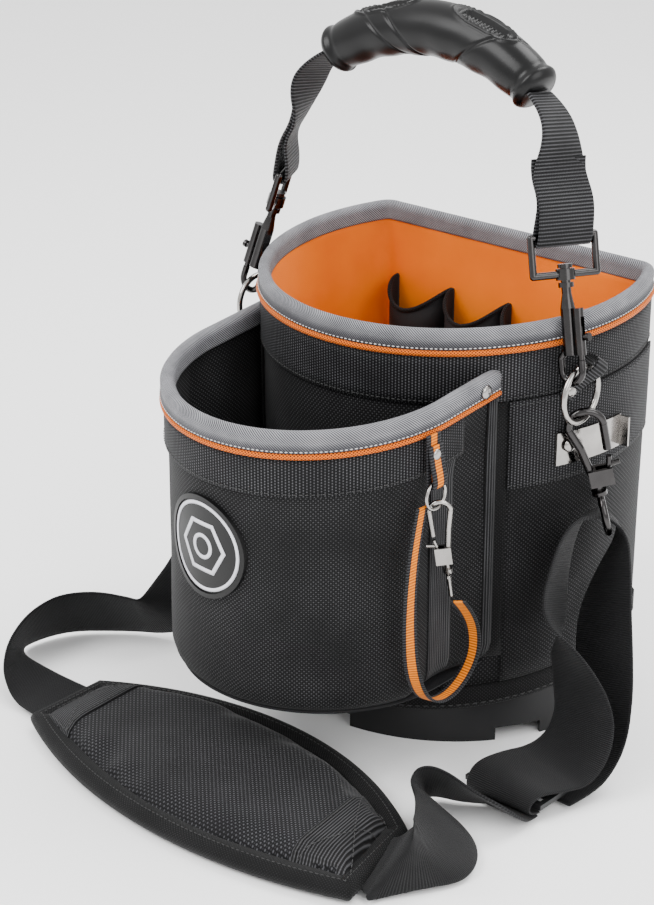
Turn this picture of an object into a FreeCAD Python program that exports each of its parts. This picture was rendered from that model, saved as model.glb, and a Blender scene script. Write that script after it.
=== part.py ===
"""Open-top tool bucket: round plan with a flat back, front tool pouch, swing handle, shoulder strap.

Millimetres, +Z up.  The origin is on the floor, under the middle of the main compartment.
The pouch faces -Y, the flat back faces +Y and the two carrying rings are at -X and +X.
"""
import FreeCAD, Part
import math
import os
import re
import Sketcher

V = FreeCAD.Vector
doc = FreeCAD.newDocument("tool_bucket")

SIZES = [
    ("plan_radius", 127.5, "main compartment, plan radius at the rim"),
    ("base_radius", 125.0, "main compartment, plan radius at the floor"),
    ("plan_centre", 31.9, "centre of the round plan, along Y"),
    ("flat_back", 95.6, "flat back wall, along Y"),
    ("rim_height", 289.7, "rim over the origin"),
    ("rim_tilt", 2.94, "rim rises towards the back, degrees"),
    ("seam_height", 44.0, "top of the moulded base over the origin"),
    ("seam_tilt", 8.0, "base seam rises towards the back, degrees"),
    ("deck_height", 14.0, "top of the moulded deck"),
    ("deck_gauge", 4.0, "thickness of the moulded deck"),
    ("notch_height", 9.0, "height of the gaps between the feet"),
    ("notch_width", 32.0, "width of the gaps between the feet"),
    ("cloth", 2.0, "wall fabric thickness"),
    ("pouch_radius", 97.5, "pouch plan radius"),
    ("pouch_centre", -102.8, "centre of the pouch's round front, along Y"),
    ("pouch_rim", 265.1, "pouch rim plane over the origin"),
    ("pouch_tilt", 5.47, "pouch rim rises towards the bucket, degrees"),
    ("pouch_low", 58.0, "underside of the pouch"),
    ("ring_out", 136.5, "carrying ring plane, from the middle"),
    ("ring_y", -15.0, "carrying ring centre, along Y"),
    ("ring_z", 246.0, "carrying ring centre height"),
    ("ring_radius", 18.0, "carrying ring centreline radius"),
    ("ring_wire", 2.0, "carrying ring wire radius"),
    ("hook_angle", 40.0, "hook contact, degrees forward of the ring's top"),
    ("handle_lean", 9.5, "handle leans back, degrees"),
    ("hook_splay", 14.4, "hook stems lean inward, degrees"),
    ("grip_bow", 140.0, "grip centreline radius"),
    ("grip_radius", 18.0, "grip section radius"),
    ("grip_half", 36.0, "half of the grip's arc, degrees"),
    ("grip_top", 197.0, "grip centreline over the hook contact"),
    ("web_width", 38.0, "handle webbing width"),
    ("web_gauge", 2.4, "handle webbing thickness"),
    ("strap_width", 50.0, "shoulder strap width"),
    ("strap_gauge", 2.0, "shoulder strap thickness"),
    ("pad_gauge", 18.0, "shoulder pad thickness"),
    ("badge_radius", 34.0, "round badge radius"),
]


def make_sheet():
    """Puts every driving size in the sheet, one aliased cell each."""
    table = doc.addObject("Spreadsheet::Sheet", "Dims")
    for row, (alias, value, meaning) in enumerate(SIZES, 1):
        table.set(f"A{row}", meaning)
        table.set(f"B{row}", str(value))
        table.setAlias(f"B{row}", alias)
    doc.recompute()
    return table


sheet = make_sheet()
ALIASES = {alias for alias, _, _ in SIZES}
PARTS = []


def size(alias):
    """A driving size, read from the sheet."""
    return float(sheet.get(alias))


def sheet_text(text):
    """An expression with its sheet names spelled out."""
    return re.sub(r"[a-z_]+", lambda m: "Dims." + m.group() if m.group() in ALIASES else m.group(), text)


def bind(obj, prop, value):
    """Sets a property to a number, or binds it to an expression of sheet names."""
    if isinstance(value, str):
        obj.setExpression(prop, sheet_text(value))
    else:
        setattr(obj, prop, value)


def place(obj, at=(0, 0, 0), axis=(0, 0, 1), angle=0.0):
    """Turns an object about an axis and binds its base point."""
    obj.Placement = FreeCAD.Placement(V(0, 0, 0), FreeCAD.Rotation(V(*axis), angle))
    for letter, value in zip("xyz", at):
        obj.setExpression("Placement.Base." + letter, sheet_text(str(value)))
    return obj


def primitive(kind, at=(0, 0, 0), axis=(0, 0, 1), angle=0.0, **sizes):
    """A Part primitive with its sizes bound to the sheet."""
    obj = doc.addObject("Part::" + kind, kind)
    for prop, value in sizes.items():
        bind(obj, prop, value)
    return place(obj, at, axis, angle)


def boolean(kind, base, tool):
    """A two-object boolean: Cut, Fuse or Common."""
    obj = doc.addObject("Part::" + kind, kind)
    obj.Base = base
    obj.Tool = tool
    return obj


def gather(objects):
    """One object that holds several separate solids."""
    obj = doc.addObject("Part::Compound", "Group")
    obj.Links = objects
    return obj


def keep(obj, label):
    """Names a finished sub-part."""
    obj.Label = label
    PARTS.append(obj)
    return obj


def feature(label, shape, placement=None):
    """A sub-part whose shape is set directly."""
    obj = doc.addObject("Part::Feature", "Shape")
    obj.Shape = shape
    if placement is not None:
        obj.Placement = placement.multiply(shape.Placement)
    return keep(obj, label)


# ------------------------------------------------------------------ walls
TALL = 340.0
WIDE = 600.0


def d_block(grow):
    """Tall tapered block on the round plan with the flat back, grown outward."""
    slope = "(plan_radius - base_radius) / rim_height"
    cone = primitive("Cone", (0, "plan_centre", 0), Height=TALL,
                     Radius1=f"base_radius + {grow}",
                     Radius2=f"base_radius + {grow} + {TALL} * {slope}")
    box = primitive("Box", (-WIDE / 2, f"flat_back + {grow} - {WIDE}", 0),
                    Length=WIDE, Width=WIDE, Height=TALL)
    return boolean("Common", cone, box)


def u_block(grow):
    """Tall block on the pouch's plan: round front, straight sides."""
    front = primitive("Cylinder", (0, "pouch_centre", 0), Height=TALL, Radius=f"pouch_radius + {grow}")
    sides = primitive("Box", (f"-pouch_radius - {grow}", "pouch_centre", 0),
                      Length=f"2 * (pouch_radius + {grow})", Width=120.0, Height=TALL)
    return boolean("Fuse", front, sides)


def slab(low, high, tilt="0"):
    """Space between two parallel planes at heights low and high over the origin."""
    obj = primitive("Box", (-WIDE / 2, f"-{WIDE / 2} * cos({tilt})", f"{low} - {WIDE / 2} * sin({tilt})"),
                    Length=WIDE, Width=WIDE, Height=f"({high} - ({low})) * cos({tilt})")
    obj.setExpression("Placement.Rotation.Angle", sheet_text(tilt))
    obj.setExpression("Placement.Rotation.Axis.x", "1")
    obj.setExpression("Placement.Rotation.Axis.z", "0")
    return obj


def ring(block, inside, outside, *slabs):
    """Wall between two growths of a plan, cut by slabs."""
    wall = boolean("Cut", block(outside), block(inside))
    for piece in slabs:
        wall = boolean("Common", wall, piece)
    return wall


def below_rim(low, high):
    return slab(f"rim_height + {low}", f"rim_height + {high}", "rim_tilt")


def below_pouch_rim(low, high):
    return slab(f"pouch_rim + {low}", f"pouch_rim + {high}", "pouch_tilt")


def above_seam():
    return slab("seam_height", f"seam_height + {WIDE}", "seam_tilt")


def outside_bucket(piece, grow=3.4):
    """Keeps what stands clear of the bucket's wall."""
    return boolean("Cut", piece, d_block(grow))


def window(x0, x1, y0, y1, z0, z1):
    """A plain box between two corners."""
    return primitive("Box", (x0, y0, z0), Length=float(x1 - x0), Width=float(y1 - y0), Height=float(z1 - z0))


def make_main_walls():
    """Shell, lining and the trims of the main rim."""
    keep(ring(d_block, -1, 1, above_seam(), below_rim(-WIDE, -1)), "body_shell")
    keep(ring(d_block, -2.3, -1.1, slab("deck_height + 0.1", f"{TALL}"), below_rim(-WIDE, -1)), "orange_lining")
    keep(ring(d_block, 1.2, 3, below_rim(-45, -13.4)), "rim_webbing_band")
    keep(ring(d_block, 1.2, 5.2, below_rim(-13.2, -9.2)), "rim_piping")
    roll = ring(d_block, -4.4, 3.9, below_rim(-9, 4))
    seat = ring(d_block, -2.4, 1.1, below_rim(-20, -0.9))
    keep(boolean("Cut", roll, seat), "rim_binding")


def d_sketch(body, radius, back):
    """Sketch on the body's XY plane: an arc about the origin closed by a straight back."""
    sketch = body.newObject("Sketcher::SketchObject", "Plan")
    plane = [f for f in body.Origin.OriginFeatures if f.Role == "XY_Plane"][0]
    sketch.AttachmentSupport = [(plane, "")]
    sketch.MapMode = "FlatFace"
    big, flat = size("base_radius"), size("flat_back") - size("plan_centre")
    start = math.pi - math.asin(flat / big)
    end = 2 * math.pi + math.asin(flat / big)
    half = big * math.cos(math.asin(flat / big))
    sketch.addGeometry(Part.ArcOfCircle(Part.Circle(V(0, 0, 0), V(0, 0, 1), big), start, end), False)
    sketch.addGeometry(Part.LineSegment(V(half, flat, 0), V(-half, flat, 0)), False)
    sketch.addConstraint(Sketcher.Constraint("Coincident", 0, 3, -1, 1))
    sketch.addConstraint(Sketcher.Constraint("Coincident", 0, 2, 1, 1))
    sketch.addConstraint(Sketcher.Constraint("Coincident", 0, 1, 1, 2))
    sketch.addConstraint(Sketcher.Constraint("Horizontal", 1))
    sketch.addConstraint(Sketcher.Constraint("Radius", 0, big))
    sketch.addConstraint(Sketcher.Constraint("DistanceY", -1, 1, 1, 1, flat))
    sketch.setExpression("Constraints[4]", sheet_text(radius))
    sketch.setExpression("Constraints[5]", sheet_text(back))
    return sketch


def padded(body, sketch, length):
    """Pads a sketch upward."""
    pad = body.newObject("PartDesign::Pad", "Pad")
    pad.Profile = sketch
    pad.setExpression("Length", sheet_text(length))
    return pad


def make_floor_board():
    """Stiffener board that lies on the moulded deck, inside the lining."""
    body = doc.addObject("PartDesign::Body", "FloorBoard")
    sketch = d_sketch(body, "base_radius - 2.8", "flat_back - plan_centre - 2.8")
    padded(body, sketch, "3")
    place(body, (0, "plan_centre", "deck_height + 0.2"))
    keep(body, "floor_board")


def make_base():
    """Moulded tub: wall, raised deck and notches that leave five feet and a back foot."""
    body = doc.addObject("PartDesign::Body", "BaseTub")
    padded(body, d_sketch(body, "base_radius + 1.6", "flat_back - plan_centre + 1.6"), "seam_height + 20")
    well = d_sketch(body, "base_radius - 0.5", "flat_back - plan_centre - 0.5")
    well.setExpression("AttachmentOffset.Base.z", sheet_text("deck_height"))
    pocket = body.newObject("PartDesign::Pocket", "Well")
    pocket.Profile = well
    pocket.Type = 1
    pocket.Reversed = True
    under = d_sketch(body, "base_radius - 2", "flat_back - plan_centre - 2")
    hollow = body.newObject("PartDesign::Pocket", "Underside")
    hollow.Profile = under
    hollow.Reversed = True
    hollow.setExpression("Length", sheet_text("deck_height - deck_gauge"))
    heel = body.newObject("PartDesign::AdditiveCylinder", "CentreFoot")
    heel.Radius = 60.0
    heel.setExpression("Height", sheet_text("deck_height"))
    notch = body.newObject("PartDesign::SubtractiveBox", "Notch")
    notch.setExpression("Length", sheet_text("notch_width"))
    notch.setExpression("Height", sheet_text("notch_height"))
    notch.Width = 30.0
    notch.setExpression("Placement.Base.x", sheet_text("-notch_width / 2"))
    notch.setExpression("Placement.Base.y", sheet_text("-base_radius - 15"))
    around = body.newObject("PartDesign::PolarPattern", "Notches")
    around.Originals = [notch]
    around.Axis = ([f for f in body.Origin.OriginFeatures if f.Role == "Z_Axis"][0], [""])
    around.Angle = 360.0
    around.Occurrences = 6
    body.Tip = around
    place(body, (0, "plan_centre", 0))
    keep(boolean("Cut", body, above_seam()), "base_tub")
    skirt = ring(d_block, 1.7, 3.2, slab("seam_height - 9", "seam_height + 6", "seam_tilt"))
    keep(skirt, "base_welt")


def make_pouch():
    """Front pouch: panel, gussets, floor, divider and rim trims."""
    front = window(-150, 150, -260, -126, 0, TALL)
    panel = ring(u_block, -1, 1, slab("pouch_low", f"{TALL}"), below_pouch_rim(-WIDE, -1), front)
    keep(panel, "pouch_front")
    for side, name in ((-1, "left"), (1, "right")):
        feature(f"pouch_gusset_{name}", gusset(side))
    deck = boolean("Common", u_block(-1.2), slab("pouch_low", "pouch_low + 3"))
    keep(outside_bucket(deck), "pouch_floor")
    trims = window(-150, 150, -260, -20, 0, TALL)
    ahead = window(-150, 150, -260, -135, 0, TALL)
    keep(ring(u_block, 1.2, 3, below_pouch_rim(-38, -13.4), ahead), "pouch_webbing_band")
    keep(outside_bucket(ring(u_block, 1.2, 5.2, below_pouch_rim(-13.2, -9.2), trims)), "pouch_piping")
    roll = ring(u_block, -5, 5, below_pouch_rim(-9, 4), trims)
    seat = ring(u_block, -1.1, 1.1, below_pouch_rim(-20, -0.9), trims)
    keep(outside_bucket(boolean("Cut", roll, seat)), "pouch_binding")
    strips = [window(x, x + 60, y, y + 15, size("pouch_low") + 2, TALL)
              for x in (-120, 60) for y in (-134.5, -66)]
    tapes = [outside_bucket(ring(u_block, 1.2, 2.7, below_pouch_rim(-WIDE, -13.4), strip))
             for strip in strips]
    keep(gather(tapes), "gusset_tapes")


def gusset(side):
    """Pouch side panel with a shallow inward fold."""
    y_front, y_back, low = -125.8, -57.6, size("pouch_low") + 3.2
    middle, fold, edges = (y_front + y_back) / 2, 9.0, []
    for skin in (size("pouch_radius") + 1, size("pouch_radius") + 1 - size("cloth")):
        x_front = math.sqrt(skin ** 2 - (size("pouch_centre") - y_front) ** 2)
        ends = V(side * x_front, y_front, low), V(side * skin, y_back, low)
        edges.append(Part.Arc(ends[0], V(side * (skin - fold), middle, low), ends[1]))
    rims = [Part.LineSegment(edges[0].StartPoint, edges[1].StartPoint),
            Part.LineSegment(edges[0].EndPoint, edges[1].EndPoint)]
    outline = Part.Wire(Part.__sortEdges__([edge.toShape() for edge in edges + rims]))
    return Part.Face(outline).extrude(V(0, 0, 243.5 - low))


def half_plane(side, y0, y1, z0=0, z1=TALL):
    """Window on one side of the bucket."""
    return window(20 if side > 0 else -170, 170 if side > 0 else -20, y0, y1, z0, z1)


def make_side_pockets():
    """Flat pocket panel and its wide webbing band on each side."""
    for side, name in ((-1, "left"), (1, "right")):
        span = half_plane(side, -45, 88)
        keep(ring(d_block, 1.2, 2.8, slab("seam_height + 6.5", f"{TALL}", "seam_tilt"),
                  below_rim(-WIDE, -45.4), span), f"side_pocket_{name}")
        keep(ring(d_block, 3, 4.6, below_rim(-105, -45.4), span), f"side_pocket_band_{name}")


def make_tool_pockets():
    """Tool loops sewn along the back wall inside: each a half round tube, open at both ends."""
    wall = size("flat_back") - 2.5
    low, top = size("deck_height") + 40, 228.0
    for index in range(4):
        middle = -75.0 + 50.0 * index
        outer = half_tube(middle, wall, 24.5, 26.0)
        inner = half_tube(middle, wall, 22.7, 24.2)
        shape = outer.cut(inner).extrude(V(0, 0, top - low))
        shape.translate(V(0, 0, low))
        feature(f"tool_pocket_{index + 1}", shape)


def half_tube(middle, wall, half, depth):
    """Face of a half round pocket against the back wall."""
    a, b = V(middle - half, wall, 0), V(middle + half, wall, 0)
    arc = Part.Arc(a, V(middle, wall - depth, 0), b).toShape()
    return Part.Face(Part.Wire([arc, Part.LineSegment(b, a).toShape()]))


# ------------------------------------------------------------------ small trims on the walls
def make_clip():
    """Tape clip: a flat bar on the right side band with its free end turned outward."""
    bar = ring(d_block, 4.8, 6.4, window(60, 170, -19, 36, 195, 217))
    turned = primitive("Box", (131.9, 35.2, 196), Length=8.0, Width=1.6, Height=20.0)
    keep(boolean("Fuse", bar, turned), "tape_clip")
    feature("tape_clip_rivet", Part.makeCylinder(4.2, 1.1, V(127.4, -11.5, 208), V(0.94, -0.34, 0)))


def make_badge():
    """Round rubber badge that follows the pouch front, with a raised edge."""
    turn = FreeCAD.Rotation(V(0, 0, 1), -6.5)
    axis = turn.multVec(V(0, -1, 0))
    centre = V(0, size("pouch_centre"), 163.0)
    reach = size("pouch_radius")
    rod = Part.makeCylinder(size("badge_radius"), 60, centre + axis * (reach - 40), axis)
    bore = Part.makeCylinder(size("badge_radius") - 3.0, 60, centre + axis * (reach - 40), axis)
    base = V(0, size("pouch_centre"), 100)

    def skin(inside, outside):
        return Part.makeCylinder(outside, 130, base).cut(Part.makeCylinder(inside, 130, base))

    disc = rod.common(skin(reach + 1.2, reach + 2.8))
    edge = rod.cut(bore).common(skin(reach + 2.8, reach + 3.8))
    feature("badge", disc.fuse(edge).removeSplitter())


# ------------------------------------------------------------------ ribbons: straps and webbing
def spline_points(poles, count):
    """Points along a clamped quadratic spline with these control points."""
    inner = len(poles) - 3
    knots = [i / (inner + 1) for i in range(inner + 2)]
    mults = [3] + [1] * inner + [3]
    curve = Part.BSplineCurve()
    curve.buildFromPolesMultsKnots([V(*p) for p in poles], mults, knots, False, 2)
    return [curve.value(i / (count - 1)) for i in range(count)]


def ribbon(stations, width, gauge, per_run=5):
    """Closed strap solid along stations (x, y, z, width direction, share of the width)."""
    count = per_run * (len(stations) - 1) + 1
    centres = spline_points([s[:3] for s in stations], count)
    across = spline_points([s[3:6] for s in stations], count)
    shares = spline_points([(s[6] if len(s) > 6 else 1.0, 0, 0) for s in stations], count)
    rows = []
    for i, (centre, direction, share) in enumerate(zip(centres, across, shares)):
        ahead = centres[min(i + 1, count - 1)] - centres[max(i - 1, 0)]
        direction.normalize()
        normal = ahead.cross(direction)
        normal.normalize()
        side, lift = direction * (width * share.x / 2), normal * (gauge / 2)
        rows.append([centre - side - lift, centre + side - lift, centre + side + lift, centre - side + lift])
    faces = []

    def quad(a, b, c, d):
        faces.append(Part.Face(Part.makePolygon([a, b, c, a])))
        faces.append(Part.Face(Part.makePolygon([a, c, d, a])))

    for near, far in zip(rows, rows[1:]):
        for k in range(4):
            quad(near[k], near[(k + 1) % 4], far[(k + 1) % 4], far[k])
    quad(*rows[0])
    quad(*rows[-1])
    solid = Part.makeSolid(Part.makeShell(faces))
    if solid.Volume < 0:
        solid.reverse()
    run = sum((b - a).Length for a, b in zip(centres, centres[1:]))
    low = min(p.z for row in rows for p in row)
    return solid, run, low, tightest(centres)


def tightest(points):
    """Smallest radius through three neighbouring points."""
    radii = []
    for a, b, c in zip(points, points[1:], points[2:]):
        area = (b - a).cross(c - a).Length
        if area > 1e-6:
            radii.append((b - a).Length * (c - b).Length * (c - a).Length / (2 * area))
    return min(radii)


def strap(label, stations, width, gauge, placement=None):
    """A strap sub-part, with its length, bend and lowest point printed."""
    solid, run, low, bend = ribbon(stations, width, gauge)
    print(f"{label}: length {run:.0f}, tightest bend {bend:.0f}, lowest {low:.1f}, volume {solid.Volume:.0f}")
    return feature(label, solid, placement)


# Each station: centre, direction across the strap, share of the full width.
STRAP_LEFT = [
    (-142, -202, 4, 0, 1, 0), (-160, -202, 4, 0, 1, 0), (-177, -200, 5, -0.1, 1, -0.1),
    (-194, -197, 9, -0.3, 0.9, -0.25), (-206, -193, 12, -0.45, 0.8, -0.36),
    (-215, -184, 17, -0.5, 0.67, -0.56), (-219, -171, 21, -0.48, 0.47, -0.74),
    (-219, -153, 23, -0.37, 0.48, -0.8), (-214, -134, 24, -0.25, 0.47, -0.85),
    (-197, -116, 24, -0.2, 0.45, -0.87), (-178, -104, 23, -0.3, 0.48, -0.82),
    (-166, -99, 23, -0.1, 0.6, -0.78), (-155, -92, 28, 0.3, 0.65, -0.68),
    (-150, -79, 39, 0.6, 0.65, -0.5), (-147, -64, 54, 0.7, 0.66, -0.3),
    (-147, -42, 80, 0.65, 0.7, -0.2), (-146, -20, 106, 0.5, 0.8, -0.1, 0.8),
    (-148, 8, 126, 0.6, 0.75, 0, 0.5), (-149, 15.5, 139, 0.66, 0.75, 0, 0.28),
    (-149, 16, 155, 0.66, 0.75, 0, 0.26), (-138.5, 7.2, 155, 0.66, 0.75, 0, 0.26),
    (-138.8, 7.6, 144, 0.66, 0.75, 0, 0.28),
]
STRAP_FOLD = [
    (155, -222, 13, 0.2, -0.95, -0.3), (162, -230, 18, 0, -0.8, -0.6),
    (171, -230, 25, -0.2, -0.3, -0.93), (178, -219, 28, 0.1, 0.15, -0.98),
    (178, -204, 23, 0.5, 0.25, -0.8), (172, -188, 20, 0.8, 0.2, -0.6),
    (160, -171, 19, 0.8, 0.28, -0.55), (144, -161, 21, 0.35, 0.6, -0.72),
    (128, -156, 22, -0.16, 0.65, -0.75), (122, -150, 23, -0.32, 0.54, -0.78),
    (128, -144, 24, -0.3, 0.53, -0.79), (141, -139, 22, -0.26, 0.58, -0.77),
    (157, -136, 21, -0.12, 0.68, -0.72), (170, -133, 20, 0.1, 0.7, -0.7),
]
STRAP_LOOP = [
    (156, -104, 4, 1, 0, 0), (156, -113, 5, 1, 0, 0), (157, -117, 14, 1, 0, 0),
    (159, -109, 22, 0.98, 0.1, -0.15), (166, -92, 22, 0.92, 0.15, -0.3),
    (173, -74, 21, 0.97, 0, -0.22), (177, -60, 31, 1, -0.03, -0.02),
    (175, -50, 46, 0.99, -0.07, 0.15), (168, -46, 60, 0.96, -0.16, 0.24),
    (161, -45, 73, 0.89, -0.33, 0.31), (154, -47, 87, 0.75, -0.52, 0.41),
    (148, -47, 100, 0.33, -0.83, 0.44), (144, -45, 114, 0.24, -0.87, 0.43),
    (141, -38, 131, 0.3, -0.85, 0.43), (139, -27, 150, 0.35, -0.8, 0.45, 0.9),
    (139, -14, 162, 0.4, -0.85, 0.3, 0.6), (141, 2, 161, 0.6, -0.78, 0.1, 0.34),
    (143, 12, 157, 0.65, -0.75, 0, 0.28), (153, 18, 146, 0.7, -0.65, 0.15, 0.4),
    (155, 3, 122, 0.87, -0.3, 0.38, 0.85), (159, -11, 100, 0.9, -0.1, 0.41),
    (167, -20, 73, 0.87, 0, 0.48), (173, -26, 46, 0.9, -0.05, 0.43),
    (176, -34, 21, 0.93, -0.15, 0.33), (174, -50, 9, 0.97, -0.2, 0.12),
    (170, -66, 5, 0.98, -0.18, 0.04), (166, -84, 4, 1, -0.05, 0),
]
LANYARD = [
    (104.5, -131, 199, 0, 1, 0), (105.5, -138, 178, 0, 1, 0), (107, -144, 150, 0.1, 1, 0),
    (108, -146, 120, 0.3, 0.9, 0), (108, -143, 93, 0.6, 0.75, 0), (108, -133, 71, 0.9, 0.35, 0),
    (108, -116, 61, 1, 0, 0), (108, -97, 64, 1, 0, 0), (108, -81, 78, 1, 0, 0),
    (107, -79, 96, 0.9, 0.3, 0), (107, -87, 113, 0.8, 0.5, 0), (107, -96.5, 123.5, 0.7, 0.6, 0),
]


def make_strap():
    """Shoulder strap webbing, its pad and its slider."""
    wide, gauge = size("strap_width"), size("strap_gauge")
    strap("strap_left", STRAP_LEFT, wide, gauge)
    strap("strap_right_lower", STRAP_FOLD, wide, gauge)
    strap("strap_right_loop", STRAP_LOOP, wide, gauge)
    corners = [V(-141, -174, 0), V(140, -184, 0), V(155, -256, 0), V(-141, -236, 0)]
    upper = Part.Arc(corners[0], V(2, -134, 0), corners[1]).toShape()
    lower = Part.Arc(corners[2], V(18, -279, 0), corners[3]).toShape()
    ends = [Part.LineSegment(corners[a], corners[b]).toShape() for a, b in ((1, 2), (3, 0))]
    outline = Part.Wire([upper, ends[0], lower, ends[1]])
    feature("strap_pad", Part.Face(outline).extrude(V(0, 0, size("pad_gauge"))))
    make_slider()


def make_slider():
    """Three-bar slider: a flat frame with two slots."""
    body = doc.addObject("PartDesign::Body", "Slider")
    plate = body.newObject("PartDesign::AdditiveBox", "Plate")
    plate.setExpression("Length", sheet_text("strap_width + 9"))
    plate.Width = 30.0
    plate.Height = 3.4
    plate.setExpression("Placement.Base.x", sheet_text("-(strap_width + 9) / 2"))
    plate.Placement.Base.y = -15.0
    for name, y in (("NearSlot", -10.4), ("FarSlot", 2.6)):
        slot = body.newObject("PartDesign::SubtractiveBox", name)
        slot.setExpression("Length", sheet_text("strap_width + 1.6"))
        slot.Width = 7.8
        slot.Height = 3.4
        slot.setExpression("Placement.Base.x", sheet_text("-(strap_width + 1.6) / 2"))
        slot.Placement.Base.y = y
    body.Placement = FreeCAD.Placement(V(156, -95, 9.5), FreeCAD.Rotation())
    keep(body, "strap_slider")


# ------------------------------------------------------------------ metal hooks
def rod(points, radius):
    """Round bar through points, with rounded corners from a sphere at each joint."""
    solid = None
    for a, b in zip(points, points[1:]):
        a, b = V(*a), V(*b)
        piece = Part.makeCylinder(radius, (b - a).Length, a, b - a)
        solid = piece if solid is None else solid.fuse(piece)
    for p in points[1:-1]:
        solid = solid.fuse(Part.makeSphere(radius, V(*p)))
    return solid


def arc_rod(centre, bend, radius, start, sweep):
    """Bent round bar in the XZ plane, about a centre, from a start angle."""
    bar = Part.makeTorus(bend, radius, V(0, 0, 0), V(0, 0, 1), -180, 180, sweep)
    bar.rotate(V(0, 0, 0), V(0, 0, 1), start)
    bar.rotate(V(0, 0, 0), V(1, 0, 0), 90)
    bar.translate(V(*centre))
    return bar


BOW = 7.5
WIRE = 2.2
BODY_LOW = 17.0
BODY_TOP = 46.0


def bolt_snap():
    """Swivel hook with a sliding bolt: bottom of the bow at the origin, stem along +Z."""
    bow = arc_rod((0, 0, BOW), BOW, WIRE, 180, 180)
    spine = rod([(-BOW, 0, BOW), (-BOW, 0, 15), (-2, 0, BODY_LOW + 5)], WIRE + 0.15)
    tip = rod([(BOW, 0, BOW), (BOW, 0, 13.6)], WIRE + 0.15)
    barrel = Part.makeCylinder(4.6, BODY_TOP - BODY_LOW, V(0, 0, BODY_LOW))
    housing = Part.makeCylinder(3.4, BODY_TOP - BODY_LOW, V(BOW, 0, BODY_LOW))
    neck = Part.makeCone(4.6, 3.0, 9, V(0, 0, BODY_TOP))
    collar = Part.makeCylinder(4.8, 3, V(0, 0, LOOP_LOW - 8))
    shank = Part.makeCylinder(3.0, LOOP_LOW - BODY_TOP + 2, V(0, 0, BODY_TOP + 3))
    head = Part.makeCylinder(4.6, 2.4, V(0, 0, LOOP_LOW + 4))
    hook = bow.multiFuse([spine, tip, barrel, housing, neck, collar, shank, head])
    bore = Part.makeCylinder(2.1, BODY_TOP - BODY_LOW - 1.4, V(BOW, 0, BODY_LOW - 0.1))
    slot = Part.makeBox(8, 3.8, 14.6, V(BOW, -1.9, BODY_LOW + 9))
    return hook.cut(bore).cut(slot).removeSplitter()


def snap_bolt():
    """Sliding bolt with its thumb stud."""
    pin = Part.makeCylinder(2.0, 20.6, V(BOW, 0, 13.9))
    stud = Part.makeCylinder(1.6, 7.2, V(BOW, 0, BODY_LOW + 11), V(1, 0, 0))
    knob = Part.makeCylinder(2.6, 2.2, V(BOW + 5.2, 0, BODY_LOW + 11), V(1, 0, 0))
    return pin.multiFuse([stud, knob])


LOOP_LOW = 67.0
LOOP_HIGH = 90.5
LOOP_HALF = 21.5


def swivel_loop():
    """Rectangular webbing loop with the swivel barrel in its lower bar."""
    r = 2.3
    corners = [(0, -LOOP_HALF, LOOP_LOW), (0, LOOP_HALF, LOOP_LOW), (0, LOOP_HALF, LOOP_HIGH),
               (0, -LOOP_HALF, LOOP_HIGH), (0, -LOOP_HALF, LOOP_LOW)]
    frame = rod(corners, r).fuse(Part.makeSphere(r, V(*corners[0])))
    barrel = Part.makeCylinder(6.0, 7.0, V(0, 0, LOOP_LOW - 3.5))
    return frame.fuse(barrel).cut(Part.makeCylinder(3.1, 9, V(0, 0, LOOP_LOW - 4.5)))


def handle_frame():
    """Handle frame: origin where the hooks' bows pass under the carrying rings' wire, leaning back."""
    angle = math.radians(size("hook_angle"))
    reach = size("ring_radius") - size("ring_wire") - WIRE - 0.2
    y = size("ring_y") - reach * math.sin(angle)
    z = size("ring_z") + reach * math.cos(angle)
    return FreeCAD.Placement(V(0, y, z), FreeCAD.Rotation(V(1, 0, 0), -size("handle_lean")))


def hook_frame(side):
    """Frame of one handle hook: origin at the bottom of its bow, +Z up the stem."""
    lean = FreeCAD.Placement(V(side * size("ring_out"), 0, 0),
                             FreeCAD.Rotation(V(0, 1, 0), -side * size("hook_splay")))
    turn = FreeCAD.Rotation(V(0, 0, 1), 0 if side > 0 else 180)
    return handle_frame().multiply(lean).multiply(FreeCAD.Placement(V(0, 0, 0), turn))


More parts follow.
